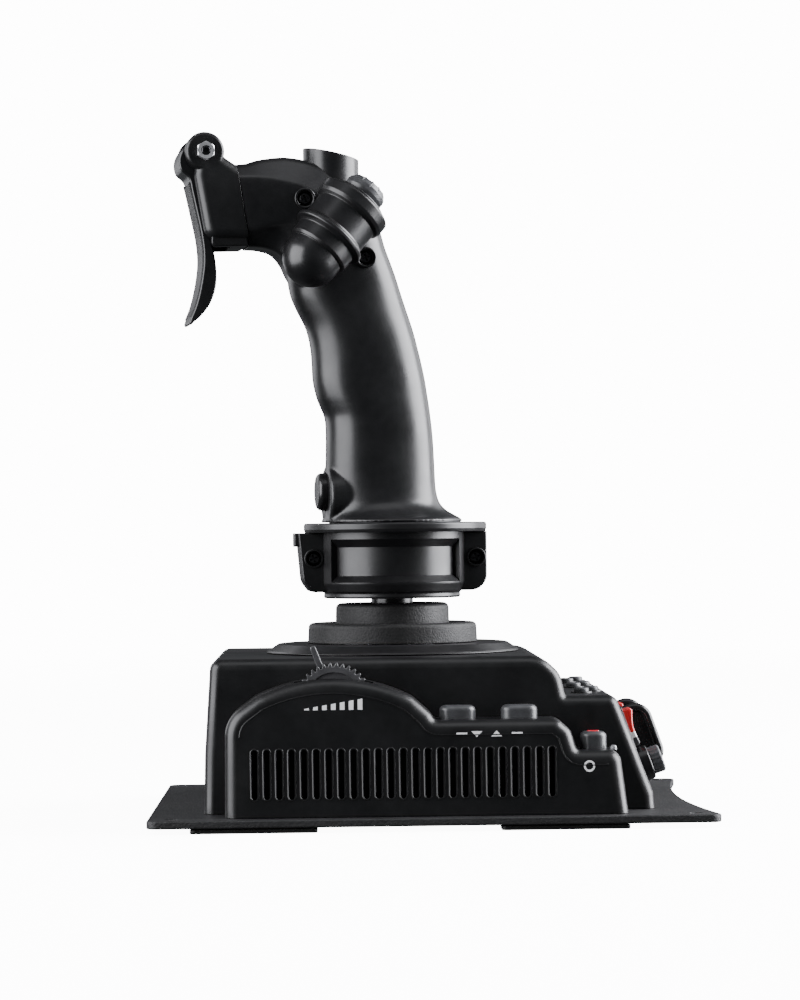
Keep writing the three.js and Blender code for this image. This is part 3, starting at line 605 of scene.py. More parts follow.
# ---- base shell ----
shell_low, shell_high = box_mm("base_shell")
SHELL_HALF = shell_high.y
SHELL_TOP = shell_high.z
SHELL_WALL = 3
SHELF_Z = 52.4
SHELL = filleted([
    (-94, -6), (-93.2, 30, 25), (-90.6, SHELL_TOP, 4.6), (45.5, SHELL_TOP, 15), (53.2, 61.5, 9),
    (55.2, SHELF_Z, 1.2), (PANEL_TOP.x - 2, SHELF_Z, 4.6), (91.1, 12, 6), (92.4, -6),
], step=7)
ROCKERS = {word: joint_mm(f"rocker_{word}_tilt").y for word in ("left", "centre", "right")}
KNOBS = {word: joint_mm(f"knob_{word}_turn").y for word in ("left", "right")}
KNOB_DOWN = (joint_mm("knob_left_turn") - PANEL_TOP).dot(DOWN)
SHELF_BUTTONS = {f"shelf_button_{i}": middle_mm(f"shelf_button_{i}") for i in range(1, 7)}


def base_shell():
    made = slab_y(SHELL, -SHELL_HALF, SHELL_HALF, 4.4, steps=5)
    made = trimmed(made, (0, 0, shell_low.z), (0, 0, -1))
    made = cut(made, slab_y(inset(SHELL, SHELL_WALL), -SHELL_HALF + SHELL_WALL, SHELL_HALF - SHELL_WALL))
    tools = [moved(bore(36, 60, 80, 72), STICK), moved(bore(4.3, -110, -80, 32), at(0, 0, 20) @ ALONG_X)]
    for y in ROCKERS.values():
        tools.append(moved(block((-9.1, -5.45, -9), (9.1, 5.45, 9)), on_panel(ROCKER_DOWN, y)))
    for y in KNOBS.values():
        tools.append(moved(bore(2.5, -9, 9, 24), on_panel(KNOB_DOWN, y)))
    for place in SHELF_BUTTONS.values():
        tools.append(moved(bore(3.55, 44, 60), at(place.x, place.y, 0)))
    return cut(made, *tools)


put(base_shell(), "shell", "base", "housing", replaces=["base_shell"])

# Raised lips round the rockers.
for word, y in ROCKERS.items():
    hole = rectangle(0, 0, 9.15, 5.5, 0.6)
    lip = slab(rectangle(0, 0, 10.1, 6.4, 1.5), -1.2, 0.8, 0.3, [hole])
    put(lip, f"rocker_frame_{word}", "base", "housing",
        on_panel(ROCKER_DOWN, y))

# ---- side casings ----
casing_low, casing_high = box_mm("side_casing_left")
CASING_FACE = -casing_low.y
CASING_BACK = -casing_high.y
CASING_WALL = 2.5
ARCH = (-41.0, casing_high.z - 71.5, 71.5)
FLAP_SHELF, MODE_SHELF = 44.3, 31.5
arch_points = [(x, ARCH[1] + math.sqrt(ARCH[2] ** 2 - (x - ARCH[0]) ** 2)) for x in range(-72, -5, 4)]
CASING = filleted([
    (-84.6, -4), (-84.2, 45.5, 14), *arch_points, (-0.8, 47.1, 5), (0.9, FLAP_SHELF, 3),
    (50.5, FLAP_SHELF, 6), (55.9, 39.5, 5), (58.4, MODE_SHELF, 2), (75.6, MODE_SHELF, 5.5), (80.2, -4),
], step=7)
VENT_COUNT, VENT_FIRST, VENT_PITCH, VENT_HALF, VENT_LOW, VENT_HIGH = 25, -72.3, 5.01, 1.1, 13.0, 33.0
FLAPS = {word: middle_mm(f"flap_button_{word}") for word in ("front", "rear")}
MODE = middle_mm("mode_button")
WHEEL = joint_mm("throttle_turn")
vents = [rectangle(VENT_FIRST + i * VENT_PITCH, (VENT_LOW + VENT_HIGH) / 2,
                   VENT_HALF, (VENT_HIGH - VENT_LOW) / 2, VENT_HALF * 0.999, 30)
         for i in range(VENT_COUNT)]


def pill(place, half_x, half_y):
    return rectangle(place.x, place.y, half_x, half_y, half_y * 0.92)


def side_casing(side):
    made = slab_y(CASING, -CASING_FACE, -CASING_BACK + 8, 5.0, steps=6)
    made = trimmed(made, (0, -CASING_BACK, 0), (0, 1, 0))
    made = trimmed(made, (0, 0, casing_low.z), (0, 0, -1))
    made = cut(made, slab_y(inset(CASING, CASING_WALL), -CASING_FACE + CASING_WALL, -CASING_BACK + 9))
    tools = [slab_y(vent, -CASING_FACE - 2, -CASING_FACE + 5) for vent in vents]
    if side < 0:
        tools.append(moved(block((-16.1, -4.2, -1), (16.1, 4.2, 72 - WHEEL.z)), at(*WHEEL)))
        for place in FLAPS.values():
            tools.append(slab(pill(place, 7.75, 5.05), 36, 62))
        tools.append(slab(pill(MODE, 5.75, 5.05), 24, 60))
    made = cut(made, *tools)
    rims = [tube([(p.x, -CASING_FACE + 0.12, p.y) for p in inset(vent, -0.42)], 0.36, 6, closed=True)
            for vent in vents]
    bead = inset(CASING, 6.0)
    lip = tube([(p.x, -CASING_FACE + 0.12, p.y) for p in bead if p.y > casing_low.z + 0.4], 0.36, 8)
    made = joined(made, *rims, lip)
    return made if side < 0 else moved(made, Matrix.Scale(-1, 4, (0, 1, 0)))


for word, side in (("left", -1), ("right", 1)):
    put(side_casing(side), f"casing_{word}", "base", "housing", replaces=[f"side_casing_{word}"])


# ---- throttle wheel and lever ----
def throttle_wheel():
    outline = []
    teeth = 36
    for i in range(teeth):
        for share, radius in ((0.0, 14.0), (0.2, 14.0), (0.42, 15.5), (0.62, 15.5)):
            outline.append(polar(radius, 360 * (i + share) / teeth))
    wheel = slab_y(outline, -3.5, 3.5, 0.35, [circle(3.2)], steps=2)
    dish = moved(lathe([(6.5, 2.6), (11.8, 2.6, 0.4), (11.8, 5), (6.5, 5)], 72), ALONG_Y)
    other = moved(copied(dish), Matrix.Rotation(math.pi, 4, "Z"))
    cut(wheel, dish, other)
    side = filleted([(-1.35, 12.6), (1.35, 12.6), (1.15, 23.9, 0.9), (-1.15, 23.9, 0.9)])
    lever = slab_y(side, -2.7, 2.7, 0.45)
    moved(lever, Matrix.Rotation(math.radians(-21.3), 4, "Y"))
    return union(wheel, lever)


put(throttle_wheel(), "throttle_wheel_toothed", "throttle_wheel", "wheel", at(*WHEEL),
    replaces=["throttle_wheel"], sharp=28)

# ---- buttons on the left casing ----
for word, place in FLAPS.items():
    low, high = box_mm(f"flap_button_{word}")
    cap = slab(pill(place, 7.4, 4.7), low.z, high.z, 2.2, steps=6)
    put(cap, f"flap_cap_{word}", f"flap_button_{word}", "button", replaces=[f"flap_button_{word}"])
low, high = box_mm("mode_button")
put(slab(pill(MODE, 5.4, 4.7), low.z, high.z, 2.2, steps=6), "mode_cap", "mode_button", "button",
    replaces=["mode_button"])
put(slab(rectangle(0, 0, 2.4, 1.6, 0.9), -0.5, 0.28, 0.22), "mode_lamp_window", "mode_button", "lamp_red",
    at(MODE.x, MODE.y, high.z))
put(lathe([(0, -0.4), (1.35, -0.4), (1.35, 0.7, 0.4), (0.9, 1.5, 0.7), (0, 1.6)], 32), "mode_lamp", "base",
    "lamp_clear", at(73.4, MODE.y - 3.4, MODE_SHELF))

# ---- shelf buttons ----
for name, place in SHELF_BUTTONS.items():
    low, high = box_mm(name)
    cap = lathe([(0, low.z), (3.2, low.z), (3.2, high.z, 0.9), (0, high.z + 0.12)], 40)
    put(cap, name.replace("button", "cap"), name, "button", at(place.x, place.y, 0), replaces=[name])
    collar = lathe([(3.6, -0.2), (4.6, -0.2), (4.4, 0.7, 0.35), (3.6, 0.7, 0.2)], 40)
    put(collar, name.replace("button", "collar"), "base", "housing", at(place.x, place.y, SHELF_Z))


# ---- control panel ----
def rocker_part(first, last):
    profile = filleted([(-8, -3, 1), (8, -3, 1), (8, 3.4, 1.2), (0, 2.6, 14), (-8, 5.2, 1.3)], step=6)
    made = slab_y(profile, -5, 5, 0.7)
    made = trimmed(made, (first, 0, 0), (-1, 0, 0))
    return trimmed(made, (last, 0, 0), (1, 0, 0))


ROCKER_PARTS = (("red", -9, 1.9, "red"), ("band", 1.9, 4.4, "white"), ("grey", 4.4, 9, "button"))
for word, y in ROCKERS.items():
    place = on_panel(ROCKER_DOWN, y)
    for part, first, last, look in ROCKER_PARTS:
        put(rocker_part(first, last), f"rocker_{word}_{part}", f"rocker_{word}", look, place,
            replaces=[f"rocker_{word}"] if part == "red" else ())

for word, y in KNOBS.items():
    skirt = lathe([(0, -8), (2.2, -8), (2.2, 0.3), (7.4, 0.3, 0.3), (7.2, 5.0, 0.9), (0, 5.0)], 72)
    place = on_panel(KNOB_DOWN, y)
    put(skirt, f"knob_skirt_{word}", f"knob_{word}", "gloss", place, replaces=[f"knob_{word}"])
    flutes = [polar(5.65 + 0.14 * math.cos(2 * math.pi * k / 5), 4 * k) for k in range(90)]
    put(slab(flutes, 4.6, 10, 1.0, steps=4), f"knob_cap_{word}", f"knob_{word}", "knob", place)
    pointer = slab(rectangle(-2.8, 0, 1.8, 0.4, 0.3), 9.9, 10.12)
    put(pointer, f"knob_pointer_{word}", f"knob_{word}", "ink", place)

for word, side in (("left", -1), ("right", 1)):
    bow = filleted([(0, 0.3), (0, 11.6, 7), (24.8, 11.6, 7), (24.8, 0.3)], closed=False, step=6)
    made = union(tube([(p.x, 0, p.y) for p in bow], 2.0, 20), slab_y(bow, -0.9, 0.9))
    for x in (0, 24.8):
        union(made, moved(lathe([(0, 0.25), (3.3, 0.25), (3.1, 1.2, 0.5), (0, 1.2)], 40), at(x, 0, 0)))
    put(made, f"guard_{word}", "base", "gloss", on_panel(8, side * 21), replaces=[f"switch_guard_{word}"])

# ---- cable gland ----
gland = lathe([(2.2, -94.8), (6, -94.8, 0.6), (6, -93.5), (4, -93.5), (4, -86), (2.2, -86)], 48)
put(gland, "gland", "base", "rubber", at(0, 0, 20) @ ALONG_X, replaces=["cable_gland"])

# ---- pivot bezel, collar, cap and shaft ----
low, high = box_mm("pivot_bezel")
profile = [(31.3, low.z), (54.5, low.z, 0.2), (53.6, low.z + 0.9, 0.3), (49.3, high.z, 0.5),
           (31.3, high.z, 0.3)]
put(lathe(profile, 128), "bezel", "base", "housing", STICK, replaces=["pivot_bezel"])
# The collar and the cap stand a little higher than their CAD pieces.
low, high = box_mm("boot_collar")
high.z += 0.8
profile = [(31, low.z, 0.3), (36.5, low.z, 0.3), (36.1, high.z, 2.7), (32.4, high.z, 1.0),
           (31, high.z - 1.2)]
put(lathe(profile, 128), "collar", "base", "rubber", STICK, replaces=["boot_collar"])
low, high = box_mm("dust_cap")
high.z += 1.3
profile = [(9.3, low.z), (24.5, low.z, 0.3), (24.3, high.z, 2.3), (12, high.z, 0.6),
           (11.2, high.z - 1.2), (9.3, high.z - 1.2)]
put(lathe(profile, 96), "cap", "stick_column", "rubber", STICK, replaces=["dust_cap"])
low, high = box_mm("stick_shaft")
profile = [(0, low.z), (9, low.z, 0.6), (9, high.z, 0.6), (0, high.z)]
put(lathe(profile, 72), "shaft", "stick_column", "gloss", STICK, replaces=["stick_shaft"])

# ---- clamp housing ----
clamp_low, clamp_high = box_mm("clamp_half_left")
CLAMP_LOW, CLAMP_TOP = clamp_low.z, clamp_high.z
BODY_R = 31.6
POCKET_R = 28.6
CLAMP_SCREWS = {"front": -34.4, "rear": 35.6}
SCREW_Z = 109.5


def pocket(outer_x, outer_low, outer_high, inner_x, inner_low, inner_high):
    """The window's cutter: sides that slope from the body's surface to the pocket's floor."""
    def place(u, v, w):
        share = min(1, w * 2)
        radius = POCKET_R + (BODY_R + 0.02 - POCKET_R) * share if w <= 0.5 else BODY_R + 6 * (w - 0.5)
        half = inner_x + (outer_x - inner_x) * share
        low = inner_low + (outer_low - inner_low) * share
        high = inner_high + (outer_high - inner_high) * share
        x = (2 * u - 1) * half
        return (x, -math.sqrt(radius ** 2 - x ** 2), low + (high - low) * v)
    return mapped_box((40, 1, 2), place)


def clamp_body():
    made = lathe([
        (9.45, CLAMP_LOW), (29.6, CLAMP_LOW, 0.9), (29.2, 94.6, 0.8), (30.2, 95.2, 0.8), (BODY_R, 98.6, 3.5),
        (BODY_R, CLAMP_TOP), (25.5, CLAMP_TOP), (25.5, 96.3), (9.45, 96.3),
    ], 128)
    wing = filleted([(-38.6, 95.2, 7), (40.3, 95.2, 7), (40.3, CLAMP_TOP), (-40.9, CLAMP_TOP)], step=7)
    wings = slab_y(wing, -9, 9, 0.8)
    step = filleted([(-37.2, 95.0, 7), (-30, 95.0), (-30, CLAMP_TOP), (-39.2, CLAMP_TOP)], step=7)
    thick = slab_y(step, -6.6, 10.4, 0.8)
    tab = bevelled(block((-42.4, -4.5, 114.6), (-39, 4.5, CLAMP_TOP)), 0.7, 3)
    made = union(made, wings, thick, tab)
    cut(made, bore(25.5, 96.3, 130, 96))
    cut(made, bore(9.45, 80, 100, 48))
    for turn in (0, 180):
        window = pocket(27.6, 99.2, 117.6, 24.9, 102.0, 114.2)
        cut(made, moved(window, Matrix.Rotation(math.radians(turn), 4, "Z")))
    bosses = []
    for x in CLAMP_SCREWS.values():
        boss = lathe([(0, 4), (4.15, 4), (4.15, 9.8, 0.35), (0, 9.8)], 48)
        bosses.append(moved(boss, at(x, 0, SCREW_Z) @ TO_LEFT))
    union(made, *bosses)
    for x in CLAMP_SCREWS.values():
        cut(made, moved(bore(3.35, 6.3, 12), at(x, 0, SCREW_Z) @ TO_LEFT))
    return bevelled(made, 0.28, 2, 40)


SEAM = 0.15
whole = clamp_body()
for word, side in (("left", -1), ("right", 1)):
    half = trimmed(copied(whole), (0, side * SEAM, 0), (0, -side, 0))
    put(half, f"clamp_{word}", "grip", "housing", CLAMP, replaces=[f"clamp_half_{word}"])
bpy.data.objects.remove(whole)
for word, x in CLAMP_SCREWS.items():
    put(phillips_screw(2.9, 1.9, 1.5, 9), f"clamp_screw_{word}_cross", "grip", "black_steel",
        CLAMP @ at(x, -6.5, SCREW_Z), replaces=[f"clamp_screw_{word}"])

# ---- grip flange ----
low, high = box_mm("grip_flange")
low.z = CLAMP_TOP - 0.05  # down to the clamp, so that no light passes between them
profile = [(12, low.z), (38.9, low.z, 0.4), (39.4, low.z + 1.4, 0.6), (39.4, high.z, 1.3),
           (37.3, high.z, 0.3), (36.9, high.z - 0.35, 0.2), (28.5, high.z - 0.35), (28.5, 124.95),
           (12, 124.95)]
put(lathe(profile, 160), "flange", "grip", "housing", GRIP @ at(1.6, 0, 0), replaces=["grip_flange"])

# ---- grip ----
HEAD_HALF = 17.0
GRIP_SECTIONS = [  # height, front, back, half width, squareness
    (124.75, -30.6, 31.2, 30.6, 2.0), (126.2, -29.9, 30.0, 29.4, 2.0), (127.6, -29.0, 27.6, 26.2, 2.05),
    (129.2, -28.6, 24.6, 23.4, 2.1), (131.4, -28.3, 22.0, 21.2, 2.2), (133.7, -28.2, 20.5, 19.9, 2.25),
    (138.9, -28.2, 19.3, 18.9, 2.3), (144.1, -28.2, 19.0, 18.5, 2.3), (149.7, -28.2, 18.8, 18.4, 2.3),
    (154.5, -28.1, 18.6, 18.4, 2.3), (160.0, -28.0, 18.3, 18.4, 2.3), (165.0, -28.0, 17.9, 18.4, 2.3),
    (170.3, -28.5, 17.3, 18.4, 2.3), (174.5, -30.2, 16.8, 18.5, 2.3), (178.5, -31.8, 16.2, 18.5, 2.3),
    (185.8, -33.4, 15.1, 18.5, 2.3), (193.6, -33.8, 13.5, 18.4, 2.3), (199.1, -34.2, 12.2, 18.3, 2.3),
    (204.3, -35.1, 10.9, 18.1, 2.3), (209.5, -36.7, 9.4, 17.9, 2.3), (215.9, -40.0, 7.3, 17.6, 2.3),
    (222.4, -42.7, 5.2, 17.3, 2.35), (230.1, -44.0, 2.8, 17.0, 2.4), (236.9, -44.0, 0.4, 16.7, 2.4),
    (243.0, -44.0, -1.8, 16.4, 2.35), (250.0, -44.0, -3.7, 15.9, 2.3), (257.0, -43.0, -6.2, 14.6, 2.2),
    (263.0, -42.0, -9.6, 12.4, 2.1), (268.0, -40.0, -15.0, 9.0, 2.0),
]


def grip_column():
    rings = []
    sides = 72
    low, high = GRIP_SECTIONS[0][0], GRIP_SECTIONS[-1][0]
    count = 90
    for i in range(count + 1):
        z = low + (high - low) * i / count
        front, back, half, power = [table_curve(GRIP_SECTIONS, z, c) for c in (1, 2, 3, 4)]
        ring = []
        for k in range(sides):
            turn = 2 * math.pi * k / sides
            c, s = math.cos(turn), math.sin(turn)
            x = (front + back) / 2 + (back - front) / 2 * math.copysign(abs(c) ** (2 / power), c)
            ring.append((x, half * math.copysign(abs(s) ** (2 / power), s), z))
        rings.append(ring)
    return loft(rings)


# Stations along the head: top x, z; bottom x, z; bottom half width; crease heights as shares;
# top half width; side half width.
HEAD_STATIONS = [
    (-68.7, 278.2, -64.2, 242.6, 10.6, 0.19, 0.81, 11.5, 17.0),
    (-62.4, 278.9, -60.6, 242.5, 10.6, 0.19, 0.80, 11.0, 17.0),
    (-57.5, 280.4, -57.0, 242.3, 10.6, 0.20, 0.765, 10.3, 17.0),
    (-51.5, 281.4, -53.5, 241.6, 10.8, 0.24, 0.735, 9.8, 17.0),
    (-45.5, 281.8, -50.0, 240.2, 11.2, 0.28, 0.71, 9.6, 17.0),
    (-38.0, 280.8, -46.2, 236.0, 12.5, 0.36, 0.715, 9.8, 17.0),
    (-31.0, 278.5, -42.0, 228.0, 12.5, 0.45, 0.74, 10.2, 17.0),
    (-22.0, 275.2, -34.0, 222.0, 12.0, 0.50, 0.76, 10.0, 16.6),
    (-14.0, 270.8, -25.0, 220.0, 11.0, 0.51, 0.76, 8.6, 14.6),
    (-9.0, 264.5, -16.0, 219.0, 9.5, 0.50, 0.74, 6.8, 11.8),
    (-6.0, 257.0, -10.0, 219.0, 7.5, 0.50, 0.72, 5.0, 9.0),
]


def head_block():
    rings = []
    rows = [(float(i), *station) for i, station in enumerate(HEAD_STATIONS)]
    count = 66
    for i in range(count + 1):
        at_row = (len(rows) - 1) * i / count
        xt, zt, xb, zb, wb, lower, upper, wt, side = [table_curve(rows, at_row, c) for c in range(1, 10)]
        top, bottom = Vector((xt, 0, zt)), Vector((xb, 0, zb))
        tall = (top - bottom).length
        half = [(0, -0.2), (wb, 0, 3.5), (side, lower * tall, 1.6), (side, upper * tall, 2.5),
                (wt, tall - 0.9, 5.5), (0, tall)]
        line = []
        for j in range(1, 5):
            line.extend(spread_arc(half[j - 1], half[j], half[j + 1]))
        right = [Vector((0, -0.2)), *line, Vector((0, tall))]
        whole_line = right + [Vector((-p.x, p.y)) for p in reversed(right[1:-1])]
        up = (top - bottom).normalized()
        rings.append([bottom + up * p.y + Vector((0, p.x, 0)) for p in whole_line])
    return loft(rings)


def spread_arc(before, corner, after):
    """The rounding of one corner (x, y, radius) as six points."""
    c = Vector(corner[:2])
    a, b = Vector(before[:2]) - c, Vector(after[:2]) - c
    spread = a.angle(b)
    reach = min(corner[2] / math.tan(spread / 2), a.length * 0.48, b.length * 0.48)
    start, end = c + a.normalized() * reach, c + b.normalized() * reach
    made = []
    for k in range(6):
        t = k / 5
        made.append(start * (1 - t) ** 2 + c * 2 * t * (1 - t) + end * t ** 2)
    return made


PINKY_Z = middle_mm("pinky_button").z
THUMB_X = -24.7
HEAD_SCREWS = ((-38.6, 262.7), (-12.6, 237.7))
POD_PROFILE = [
    (0, -12.3), *[polar(12.3, degrees) for degrees in range(-84, 0, 6)],
    (12.3, 0), (12.35, 3.4, 0.3), (12.9, 3.6, 0.3), (13.7, 4.6, 0.5), (13.75, 10.0, 0.5), (14.6, 10.6, 0.6),
    (16.2, 11.3, 0.8), (16.3, 12.9, 0.7), (14.6, 14.0, 0.5), (14.2, 14.8, 0.3), (14.2, 24.2, 0.4),
    (15.6, 25.2, 0.6), (16.1, 26.6, 0.6), (16.2, 31.2, 1.1), (14.4, 31.7, 0.3), (12.9, 31.3, 0.3),
    (12.8, 33.2, 0.5), (10.2, 33.2, 0.4), (10.2, 22), (0, 22),
]


HEAD_SEAM = Vector((-62.35, 0, 245.4))
SEAM_NORMAL = Vector((0.9882, 0, 0.1531))


def pinky_boss():
    """A flat-fronted oval boss round the little-finger button."""
    arch = [polar(1, 7.5 * k - 90) for k in range(48)]
    boss = slab([(13.4 * p.x, 16.0 * p.y) for p in arch], -28.6, -6, 1.6)
    return moved(boss, at(0, 0, 136.0) @ Matrix(((0, 0, 1, 0), (0, 1, 0, 0), (-1, 0, 0, 0), (0, 0, 0, 1))))


def grip_body():
    column = grip_column()
    head = head_block()
    made = joined(column, head, pinky_boss())
    fused(made, 0.72, 5)
    made = trimmed(made, (0, 0, 124.9), (0, 0, -1))
    made = trimmed(made, HEAD_SEAM, -SEAM_NORMAL)
    sockets = []
    for x, z in HEAD_SCREWS:
        socket = lathe([(0, 4), (4.5, 4), (4.5, 17.75, 0.5), (0, 17.75)], 48)
        sockets.append(moved(socket, at(x, 0, z) @ TO_LEFT))
    union(made, joined(*sockets))
    tools = []
    for x, z in HEAD_SCREWS:
        cup = lathe([(0, 14.9), (3.45, 14.9), (3.45, 17.5), (3.9, 17.9), (3.9, 20), (0, 20)], 40)
        tools.append(moved(cup, at(x, 0, z) @ TO_LEFT))
    tools.append(moved(bore(8.5, -60, -19, 64), at(0, 0, PINKY_Z) @ ALONG_X))
    tools.append(moved(bore(12.25, 266, 300, 64), at(THUMB_X, 0, 0)))
    cut(made, *tools)
    return made


whole = grip_body()
for word, side in (("left", -1), ("right", 1)):
    half = trimmed(copied(whole), (0, side * SEAM, 0), (0, -side, 0))
    put(half, f"grip_{word}", "grip", "grip", GRIP, replaces=[f"grip_shell_{word}"],
        sharp=45, weighted=False)
bpy.data.objects.remove(whole)
for word, (x, z) in zip(("upper", "lower"), HEAD_SCREWS):
    put(phillips_screw(2.9, 1.7, 1.5, 12), f"grip_screw_{word}_cross", "grip", "black_steel",
        GRIP @ at(x, -15.0, z), replaces=[f"grip_screw_{word}"])

# ---- buttons on the grip ----
low, high = box_mm("thumb_button")
THUMB_Z, THUMB_SLOPE = 283.1, math.radians(12.4)
turret = lathe([(0, low.z), (11.95, low.z, 0.3), (11.95, 300), (0, 300)], 96)
turret = trimmed(turret, (0, 0, THUMB_Z), (math.sin(THUMB_SLOPE), 0, math.cos(THUMB_SLOPE)))
put(bevelled(turret, 1.4, 5, 50), "thumb_cap", "thumb_button", "grip", GRIP @ at(THUMB_X, 0, 0),
    replaces=["thumb_button"])
pinky = lathe([(0, -32.6), (8.1, -32.6, 2.2), (8.1, -23), (0, -23)], 72)
put(pinky, "pinky_cap", "pinky_button", "gloss", GRIP @ at(0, 0, PINKY_Z) @ ALONG_X,
    replaces=["pinky_button"])

# ---- hat pod ----
put(lathe(POD_PROFILE, 96, 12), "pod", "grip", "grip", POD, replaces=["hat_pod"],
    sharp=50)


def pod_hat():
    cap = lathe([(0, 23.5), (3.2, 23.5), (3.2, 33.4), (8.2, 33.4, 0.5), (9.1, 36.2, 0.8), (9.1, 38.4, 1.0),
                 (7.6, 40.9, 1.2), (5.4, 40.7, 0.5), (0, 39.8)], 64)
    ridges = []
    for k in range(12):
        ridge = tube([(2.4, 0, 40.1), (4.4, 0, 40.6), (6.9, 0, 40.8), (8.3, 0, 39.4), (8.8, 0, 37.6)], 0.5, 8)
        ridges.append(moved(ridge, Matrix.Rotation(math.radians(30 * k), 4, "Z")))
    return joined(cap, *ridges)


put(pod_hat(), "pod_hat_cap", "pod_hat", "button", POD, replaces=["pod_hat"],
    sharp=50)

# ---- trigger housing ----
CHEEK_INNER = 11.8
EAR = 8.3
px, pz = TRIGGER_PIVOT.x, TRIGGER_PIVOT.z
PIVOT = at(px, 0, pz)


def housing():
    body = filleted([(-80.7, 245.2, 5.5), (-50, 245.2), (-50, 276.5), (-66.9, 276.5), (-72.4, 280.2, 4),
                     (-76.5, 285.5), (-84.0, 285.5), (-85.4, 272.0)], step=10)
    cheeks = slab_y(body, -HEAD_HALF, HEAD_HALF, 4.2, steps=5)
    cheeks = bevelled(trimmed(cheeks, HEAD_SEAM - SEAM_NORMAL * 0.3, SEAM_NORMAL), 0.45, 3, 60)
    ears = slab_y(circle(EAR, px, pz, 56), -HEAD_HALF, HEAD_HALF, 1.7, steps=4)
    cheeks = union(cheeks, ears)
    lip = filleted([(-78.4, 242.2, 2), (-62.6, 242.6, 0.6), (-63.4, 248), (-78.4, 248)])
    union(cheeks, slab_y(lip, -15.2, 15.2, 0.6))
    cut(cheeks, block((-120, -CHEEK_INNER, 200), (-69.4, CHEEK_INNER, 300)))
    cut(cheeks, block((-76, -CHEEK_INNER, 268), (-58, CHEEK_INNER, 300)))
    cut(cheeks, moved(bore(2.3, -30, 30, 24), PIVOT @ ALONG_Y))
    cut(cheeks, block((-70, -4.3, 252.7), (-60, 4.3, 259.3)))
    return cheeks


put(housing(), "trigger_cheeks", "grip", "housing", GRIP, replaces=["trigger_housing"])

# ---- trigger ----
LEVER_FRONT = [(-82.0, 287.5), (-86.3, 286.2), (-89.8, 283.9), (-91.5, 279.6), (-90.7, 274.9), (-87.4, 271.5),
               (-86.0, 265.5), (-84.5, 258.5), (-83.1, 252.0), (-82.0, 246.0), (-81.4, 239.9), (-81.6, 233.5),
               (-83.0, 224.9), (-85.0, 217.4), (-87.6, 211.0)]
LEVER_BACK = [(-86.9, 209.6), (-86.0, 210.4), (-82.7, 213.2), (-78.8, 218.3), (-76.4, 224.9), (-75.9, 231.4),
              (-76.5, 237.8), (-77.6, 243.5), (-78.9, 250.0), (-80.3, 257.5), (-80.6, 266.0), (-77.6, 274.6),
              (-75.2, 279.5), (-74.8, 284.0), (-77.4, 287.4)]
LEVER_HALF = 11.3


def trigger_lever():
    outline = curve_through([*LEVER_FRONT, *LEVER_BACK], 4, closed=True)
    lever = slab_y(outline, -LEVER_HALF, LEVER_HALF, 0.9, steps=3)
    cut(lever, moved(bore(2.35, -30, 30, 24), PIVOT @ ALONG_Y))
    face = curve_through(LEVER_FRONT[5:], 12)
    lengths = [0.0]
    for a, b in zip(face, face[1:]):
        lengths.append(lengths[-1] + (b - a).length)

    def on_face(distance, lift):
        distance = min(max(distance, 0), lengths[-1] - 1e-6)
        i = max(k for k, value in enumerate(lengths) if value <= distance)
        i = min(i, len(face) - 2)
        a, b = face[i], face[i + 1]
        spot = a.lerp(b, (distance - lengths[i]) / (lengths[i + 1] - lengths[i]))
        along = (b - a).normalized()
        return spot + Vector((along.y, -along.x)) * (-lift if along.y > 0 else lift)

    def outwards(distance, y, lift):
        spot = on_face(distance, lift)
        return (spot.x, y, spot.y)

    parts = [lever]
    for side in (-1, 1):
        edge = [outwards(1.5 + (lengths[-1] - 3) * k / 80, side * 9.9, 0.05) for k in range(81)]
        parts.append(tube(edge, 0.42, 8))
    start, pitch, skew = 2.5, 1.18, 9.0
    count = int((lengths[-1] + skew - 3.0 - start) / pitch)
    for k in range(count):
        line = []
        for j in range(13):
            y = -9.4 + 18.8 * j / 12
            distance = start - skew + k * pitch + skew * (j / 12)
            if 2.0 < distance < lengths[-1] - 1.8:
                line.append(outwards(distance, y, -0.02))
        if len(line) > 2:
            parts.append(tube(line, 0.3, 6))
    return joined(*parts)


put(trigger_lever(), "trigger_lever", "trigger", "gloss", GRIP, replaces=["trigger"],
    sharp=40)

# ---- trigger bolt and nut ----
bolt = lathe([(0, -20.2), (2.2, -20.2, 0.3), (3.5, -19.6, 0.8), (3.5, -17.3, 0.2), (2, -17.3), (2, 20.1, 0.3),
              (1.6, 20.5), (0, 20.5)], 48)
cut(bolt, slab(circle(1.15, steps=6), 18.9, 22))
put(bolt, "pivot_bolt", "grip", "black_steel", GRIP @ PIVOT @ TO_LEFT, replaces=["trigger_bolt"])
hexagon = [polar(4.04, 60 * k + 30) for k in range(6)]
nut = slab(hexagon, 17.3, 20.3, 0, [circle(2.1)])
boolean(nut, "INTERSECT", lathe([(0, 17.2), (4.3, 17.2), (4.3, 19.5), (3.5, 20.31), (0, 20.31)], 64))
put(bevelled(nut, 0.12, 2, 25), "pivot_nut", "grip", "steel", GRIP @ PIVOT @ TO_LEFT,
    replaces=["trigger_nut"])


# ---- plain signs on the left casing ----
def sign(name, outline, *holes):
    put(slab_y(outline, -0.12, 0.04, 0, holes), name, "base", "ink", at(0, -CASING_FACE, 0))


